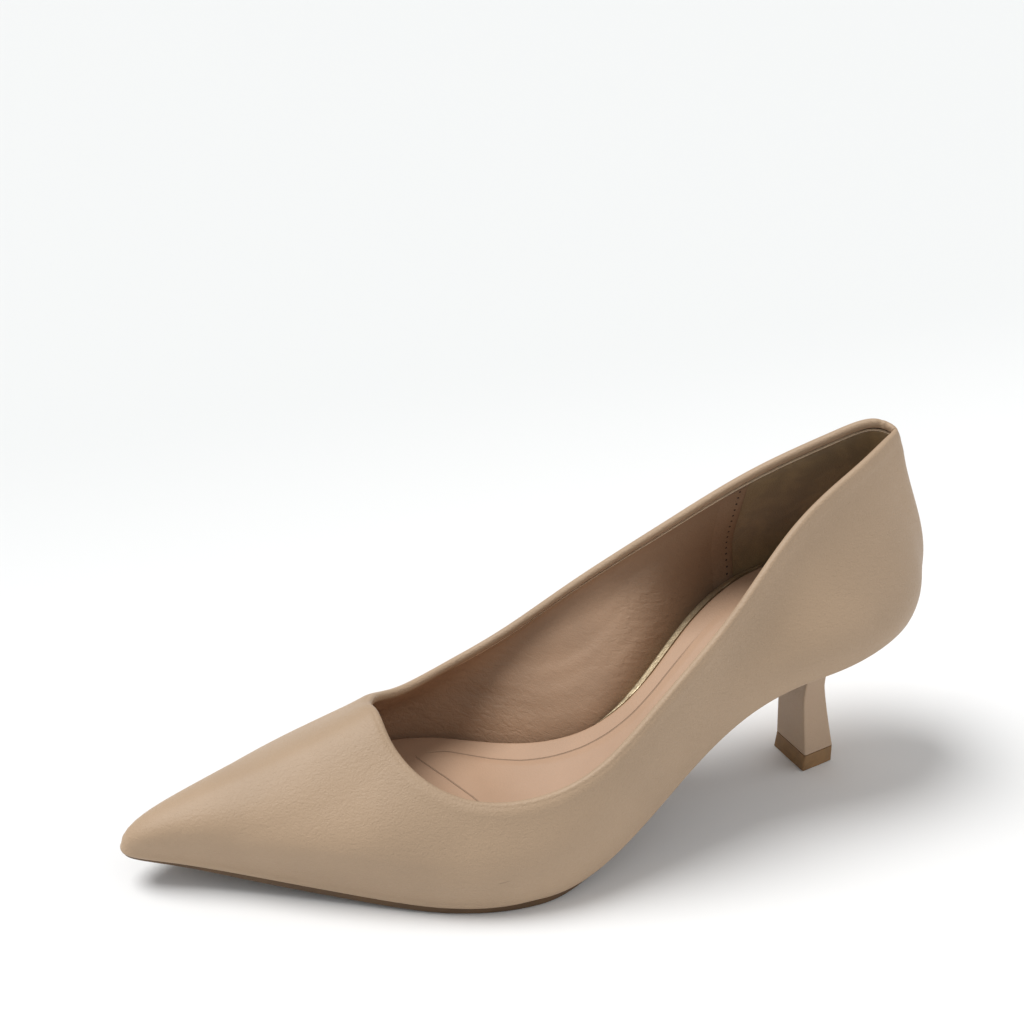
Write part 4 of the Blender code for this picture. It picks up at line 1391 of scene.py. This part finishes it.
def build_heel(sizes, looks):
    """The covered heel: a slim column that flares out under the seat."""
    foot = foot_outline(FOOT_LENGTH, FOOT_WIDTH, FOOT_TAPER, sizes.heel_arris)
    neck = foot_outline(NECK_LENGTH, NECK_WIDTH, NECK_ROUNDING * FOOT_TAPER, sizes.heel_arris)
    neck += np.array([NECK_SET, 0.0])
    seat = seat_outline()
    low = LIFT_THICKNESS + GAP
    high = seat_level(seat[:, 0], -GAP)
    middle = (NECK_HEIGHT - low) / (HEEL_HEIGHT - low)
    rings = []
    for step in range(HEEL_STEPS + 1):
        share = step / HEEL_STEPS
        if share < middle:
            plan = neck + (foot - neck) * ((middle - share) / middle) ** HEEL_TAPER
        else:
            plan = neck + (seat - neck) * ((share - middle) / (1.0 - middle)) ** HEEL_FLARE
        rings.append(np.column_stack([plan, low + share * (high - low)]))
    finish = upper_leather("heel_calf", looks.heel, looks)
    return settle(closed_by_ends("heel_block", rings, finish), "heel", "heel")


def build_top_lift(sizes, looks):
    """The top lift under the heel, a little wider at the floor, with a soft lower edge."""
    outline = foot_outline(FOOT_LENGTH, FOOT_WIDTH, FOOT_TAPER, sizes.heel_arris)
    middle = outline.mean(0)
    reach = np.linalg.norm(outline - middle, axis=1)[:, None]
    rings = []
    for height, wider in LIFT_ROWS:
        plan = middle + (outline - middle) * (1.0 + wider * LIFT_SPLAY / reach)
        rings.append(np.column_stack([plan, np.full(len(plan), 0.001 * height)]))
    finish = lift_plastic("lift_plastic", looks.lift)
    return settle(closed_by_ends("lift_block", rings, finish), "top_lift", "top_lift")


def screen_colour(red, green, blue):
    """A colour as seen on screen, 0 to 255, as the linear value that a shader takes."""
    return tuple(
        c / 12.92 if c <= 0.04045 else ((c + 0.055) / 1.055) ** 2.4
        for c in (red / 255, green / 255, blue / 255)
    )


def length(name, description, default):
    """A length that the panel shows."""
    return FloatProperty(
        name=name, description=description, default=default, min=0.0, unit="LENGTH", precision=5
    )


def colour(name, description, default):
    """A colour that the panel shows."""
    return FloatVectorProperty(
        name=name, description=description, default=default, subtype="COLOR", size=3,
        min=0.0, max=1.0,
    )


class PumpSizes(bpy.types.PropertyGroup):
    """Sizes of the dressing that a user may want to change."""

    seam_depth: length("Back Seam", "Depth of the seam behind the heel", 0.00022)
    lip_depth: length("Lip Depth", "Topline to the lining's cut edge", 0.0028)
    suede_thickness: length("Suede", "Thickness of the suede heel grip", 0.00045)
    lap_thickness: length("Lap", "Rise of the front lining over the suede", 0.00060)
    hole_setback: length("Hole Setback", "Needle holes to the lining's rear edge", 0.0022)
    hole_spacing: length("Hole Spacing", "From one needle hole to the next", 0.0024)
    hole_radius: length("Hole Size", "Radius of a needle hole", 0.00034)
    back_slimming: length("Back Roll", "How far the roll behind the heel leans in", 0.0009)
    sole_rounding: length("Sole Edge", "Rounding of the sole's lower edge", 0.0009)
    toe_thinning: length("Toe Thinning", "How much thinner the sole is at the toe's tip", 0.0011)
    heel_arris: length("Heel Corner", "Rounding of the heel's corners", 0.0006)
    pad_rise: length("Pad Rise", "How far the sock's pad stands up", 0.0005)
    band_rise: length("Band Rise", "How far the metallic band comes up beside the sock", 0.0022)
    groove_depth: length("Groove", "Depth of the sock's sewn lines", 0.00035)
    sock_across: IntProperty(
        name="Sock Detail", description="Strips across the sock", default=84, min=8, max=120
    )


class PumpLooks(bpy.types.PropertyGroup):
    """Colours and surface of the materials."""

    upper: colour("Upper", "Colour of the outer leather", screen_colour(175, 149, 122))
    lining: colour("Lining", "Colour of the lining", screen_colour(170, 138, 111))
    # The lip's pale colour is a painted highlight.
    cut_edge: colour("Cut Edge", "Colour of the lining's cut edge", screen_colour(240, 214, 182))
    suede: colour("Suede", "Colour of the suede heel grip", screen_colour(142, 118, 82))
    sock: colour("Sock", "Colour of the padded sock", screen_colour(186, 153, 126))
    band: colour("Band", "Colour of the metallic band", screen_colour(188, 172, 142))
    sole: colour("Sole", "Colour of the sole", screen_colour(92, 68, 43))
    heel: colour("Heel", "Colour of the covered heel", screen_colour(178, 152, 127))
    lift: colour("Top Lift", "Colour of the top lift", screen_colour(138, 105, 68))
    # The groove's colour is painted shade.
    groove: colour("Groove", "Colour in the groove under the topline", screen_colour(84, 64, 46))
    # The holes' colour is painted shade.
    hole: colour("Holes", "Colour inside the needle holes", screen_colour(30, 22, 15))
    grain_size: length("Grain Size", "Size of the leather's pebbles", 0.00052)
    grain_depth: length("Grain Depth", "Depth of the leather's pebbles", 0.00024)
    wrinkle_depth: length("Wrinkle Depth", "Depth of the lining's small wrinkles", 0.00050)


class PumpStage(bpy.types.PropertyGroup):
    """Camera and light."""

    azimuth: FloatProperty(
        name="Azimuth", description="Camera's turn round the shoe", subtype="ANGLE",
        default=math.radians(23.612),
    )
    elevation: FloatProperty(
        name="Elevation", description="Camera's height angle", subtype="ANGLE",
        default=math.radians(30.363),
    )
    roll: FloatProperty(
        name="Roll", description="Camera's lean to the side", subtype="ANGLE",
        default=math.radians(2.474),
    )
    distance: length("Distance", "Camera to the point it looks at", 0.52106)
    lens: FloatProperty(
        name="Lens", description="Focal length in millimetres", default=66.80, min=10.0
    )
    sun: FloatProperty(name="Sun", description="Strength of the main light", default=2.55, min=0.0)
    fill: FloatProperty(name="Fill", description="Strength of the side light", default=0.72, min=0.0)
    sky: FloatProperty(name="Sky", description="Strength of the even light", default=0.45, min=0.0)


CAMERA_TARGET = Vector((0.012426, -0.003029, 0.105220))
SENSOR_WIDTH = 36.0
SUN_FROM = Vector((0.42, -0.28, 1.00))
SUN_ANGLE = math.radians(34.0)
FILL_FROM = Vector((-0.80, 0.40, 0.22))
FILL_ANGLE = math.radians(70.0)
SKY_COLOUR = (0.98, 0.99, 1.0, 1.0)
FLOOR_REACH = 6.0
# The far floor's darker colour is painted shade; FLOOR_TURNS gives where it comes in.
FLOOR_NEAR, FLOOR_FAR_PAINTED_SHADE = (0.88, 0.88, 0.875), (0.755, 0.765, 0.76)
FLOOR_TURNS = (-0.04, -0.30)          # metres behind the shoe, towards its inner side


def build_floor():
    """The plain pale floor, with painted shade that makes it a little darker far behind the shoe."""
    mesh = bpy.data.meshes.new("floor")
    r = FLOOR_REACH
    mesh.from_pydata([(-r, -r, 0), (r, -r, 0), (r, r, 0), (-r, r, 0)], [], [(0, 1, 2, 3)])
    floor = bpy.data.objects.new("floor", mesh)
    bpy.context.scene.collection.objects.link(floor)
    paper = Finish("floor_paper", Roughness=0.9)
    far = paper.axis("Y").between(*FLOOR_TURNS)
    paper.set(Base_Color=paper.blend(far, FLOOR_NEAR, FLOOR_FAR_PAINTED_SHADE))
    mesh.materials.append(paper.material)


def build_lamp(name, strength, angle, origin):
    """A broad soft lamp that shines from a direction."""
    lamp = bpy.data.lights.new(name, "SUN")
    lamp.energy, lamp.angle = strength, angle
    holder = bpy.data.objects.new(name, lamp)
    holder.rotation_euler = origin.to_track_quat("Z", "Y").to_euler()
    bpy.context.scene.collection.objects.link(holder)


def build_sky(strength):
    """Even light from all round, and colours shown as they are."""
    scene = bpy.context.scene
    world = bpy.data.worlds.new("room")
    world.use_nodes = True
    background = world.node_tree.nodes["Background"]
    background.inputs["Color"].default_value = SKY_COLOUR
    background.inputs["Strength"].default_value = strength
    scene.world = world
    scene.view_settings.view_transform = "Standard"
    scene.view_settings.look = "None"


def build_camera(stage):
    """The camera at its turn, height angle and lean, looking at its target."""
    lens = bpy.data.cameras.new("camera")
    lens.lens = stage.lens
    lens.sensor_width = SENSOR_WIDTH
    lens.clip_start = 0.01
    camera = bpy.data.objects.new("camera", lens)
    level = math.cos(stage.elevation)
    back = Vector(
        (math.sin(stage.azimuth) * level, math.cos(stage.azimuth) * level, math.sin(stage.elevation))
    )
    right = (-back).cross(Vector((0.0, 0.0, 1.0))).normalized()
    up = back.cross(right)
    turned_right = right * math.cos(stage.roll) + up * math.sin(stage.roll)
    turned_up = up * math.cos(stage.roll) - right * math.sin(stage.roll)
    turn = Matrix((turned_right, turned_up, back)).transposed().to_4x4()
    camera.matrix_world = Matrix.Translation(CAMERA_TARGET + stage.distance * back) @ turn
    bpy.context.scene.collection.objects.link(camera)
    bpy.context.scene.camera = camera


def build_stage(stage):
    """Floor, light and camera."""
    build_floor()
    build_lamp("window", stage.sun, SUN_ANGLE, SUN_FROM)
    build_lamp("fill", stage.fill, FILL_ANGLE, FILL_FROM)
    build_sky(stage.sky)
    build_camera(stage)


def finish_with(build, context):
    """Runs a builder with the panel's sizes and looks, for an operator's execute."""
    if not build(context.scene.pump_sizes, context.scene.pump_looks):
        raise RuntimeError(build.__name__ + " made no piece.")
    return {"FINISHED"}


class PUMP_OT_upper(bpy.types.Operator):
    """Build the outer leather, lining and rolled topline"""

    bl_idname = "pump.upper"
    bl_label = "Upper"

    def execute(self, context):
        return finish_with(build_upper, context)


class PUMP_OT_heel_grip(bpy.types.Operator):
    """Build the suede that cups the heel"""

    bl_idname = "pump.heel_grip"
    bl_label = "Heel Grip"

    def execute(self, context):
        return finish_with(build_heel_grip, context)


class PUMP_OT_lining_edges(bpy.types.Operator):
    """Build the lining's rear edges"""

    bl_idname = "pump.lining_edges"
    bl_label = "Lining Edges"

    def execute(self, context):
        return finish_with(build_lining_edges, context)


class PUMP_OT_needle_holes(bpy.types.Operator):
    """Set the rows of needle holes as dark cones of painted shade"""

    bl_idname = "pump.needle_holes"
    bl_label = "Needle Holes"

    def execute(self, context):
        return finish_with(build_needle_holes, context)


class PUMP_OT_sock(bpy.types.Operator):
    """Build the padded sock"""

    bl_idname = "pump.sock"
    bl_label = "Sock"

    def execute(self, context):
        return finish_with(build_sock, context)


class PUMP_OT_insole(bpy.types.Operator):
    """Build the insole with its metallic band"""

    bl_idname = "pump.insole"
    bl_label = "Insole"

    def execute(self, context):
        return finish_with(build_insole, context)


class PUMP_OT_outsole(bpy.types.Operator):
    """Build the outsole"""

    bl_idname = "pump.outsole"
    bl_label = "Outsole"

    def execute(self, context):
        return finish_with(build_outsole, context)


class PUMP_OT_heel(bpy.types.Operator):
    """Build the covered heel"""

    bl_idname = "pump.heel"
    bl_label = "Heel"

    def execute(self, context):
        return finish_with(build_heel, context)


class PUMP_OT_top_lift(bpy.types.Operator):
    """Build the top lift"""

    bl_idname = "pump.top_lift"
    bl_label = "Top Lift"

    def execute(self, context):
        return finish_with(build_top_lift, context)


class PUMP_OT_stage(bpy.types.Operator):
    """Build the floor, the light and the camera"""

    bl_idname = "pump.stage"
    bl_label = "Stage"

    def execute(self, context):
        build_stage(context.scene.pump_stage)
        return {"FINISHED"}


OPERATORS = [
    PUMP_OT_upper,
    PUMP_OT_heel_grip,
    PUMP_OT_lining_edges,
    PUMP_OT_needle_holes,
    PUMP_OT_sock,
    PUMP_OT_insole,
    PUMP_OT_outsole,
    PUMP_OT_heel,
    PUMP_OT_top_lift,
    PUMP_OT_stage,
]


class PUMP_PT_panel(bpy.types.Panel):
    """Everything that the pump is dressed with"""

    bl_idname = "PUMP_PT_panel"
    bl_label = "Kitten Heel Pump"
    bl_space_type = "VIEW_3D"
    bl_region_type = "UI"
    bl_category = "Pump"

    def draw(self, context):
        """A button for each operator, then the settings."""
        column = self.layout.column()
        for operator in OPERATORS:
            column.operator(operator.bl_idname)
        for group in ("pump_sizes", "pump_looks", "pump_stage"):
            settings = getattr(context.scene, group)
            for name in settings.bl_rna.properties.keys():
                if name not in ("rna_type", "name"):
                    column.prop(settings, name)


CLASSES = [PumpSizes, PumpLooks, PumpStage, *OPERATORS, PUMP_PT_panel]


def register():
    """Makes the settings, operators and panel known."""
    for made in CLASSES:
        bpy.utils.register_class(made)
    bpy.types.Scene.pump_sizes = PointerProperty(type=PumpSizes)
    bpy.types.Scene.pump_looks = PointerProperty(type=PumpLooks)
    bpy.types.Scene.pump_stage = PointerProperty(type=PumpStage)


def unregister():
    """Takes the settings, operators and panel away again."""
    for group in ("pump_sizes", "pump_looks", "pump_stage"):
        delattr(bpy.types.Scene, group)
    for made in reversed(CLASSES):
        bpy.utils.unregister_class(made)


def main():
    """Builds every piece and the stage."""
    register()
    bpy.ops.pump.upper()
    bpy.ops.pump.heel_grip()
    bpy.ops.pump.lining_edges()
    bpy.ops.pump.needle_holes()
    bpy.ops.pump.sock()
    bpy.ops.pump.insole()
    bpy.ops.pump.outsole()
    bpy.ops.pump.heel()
    bpy.ops.pump.top_lift()
    bpy.ops.pump.stage()


if __name__ == "__main__":
    main()
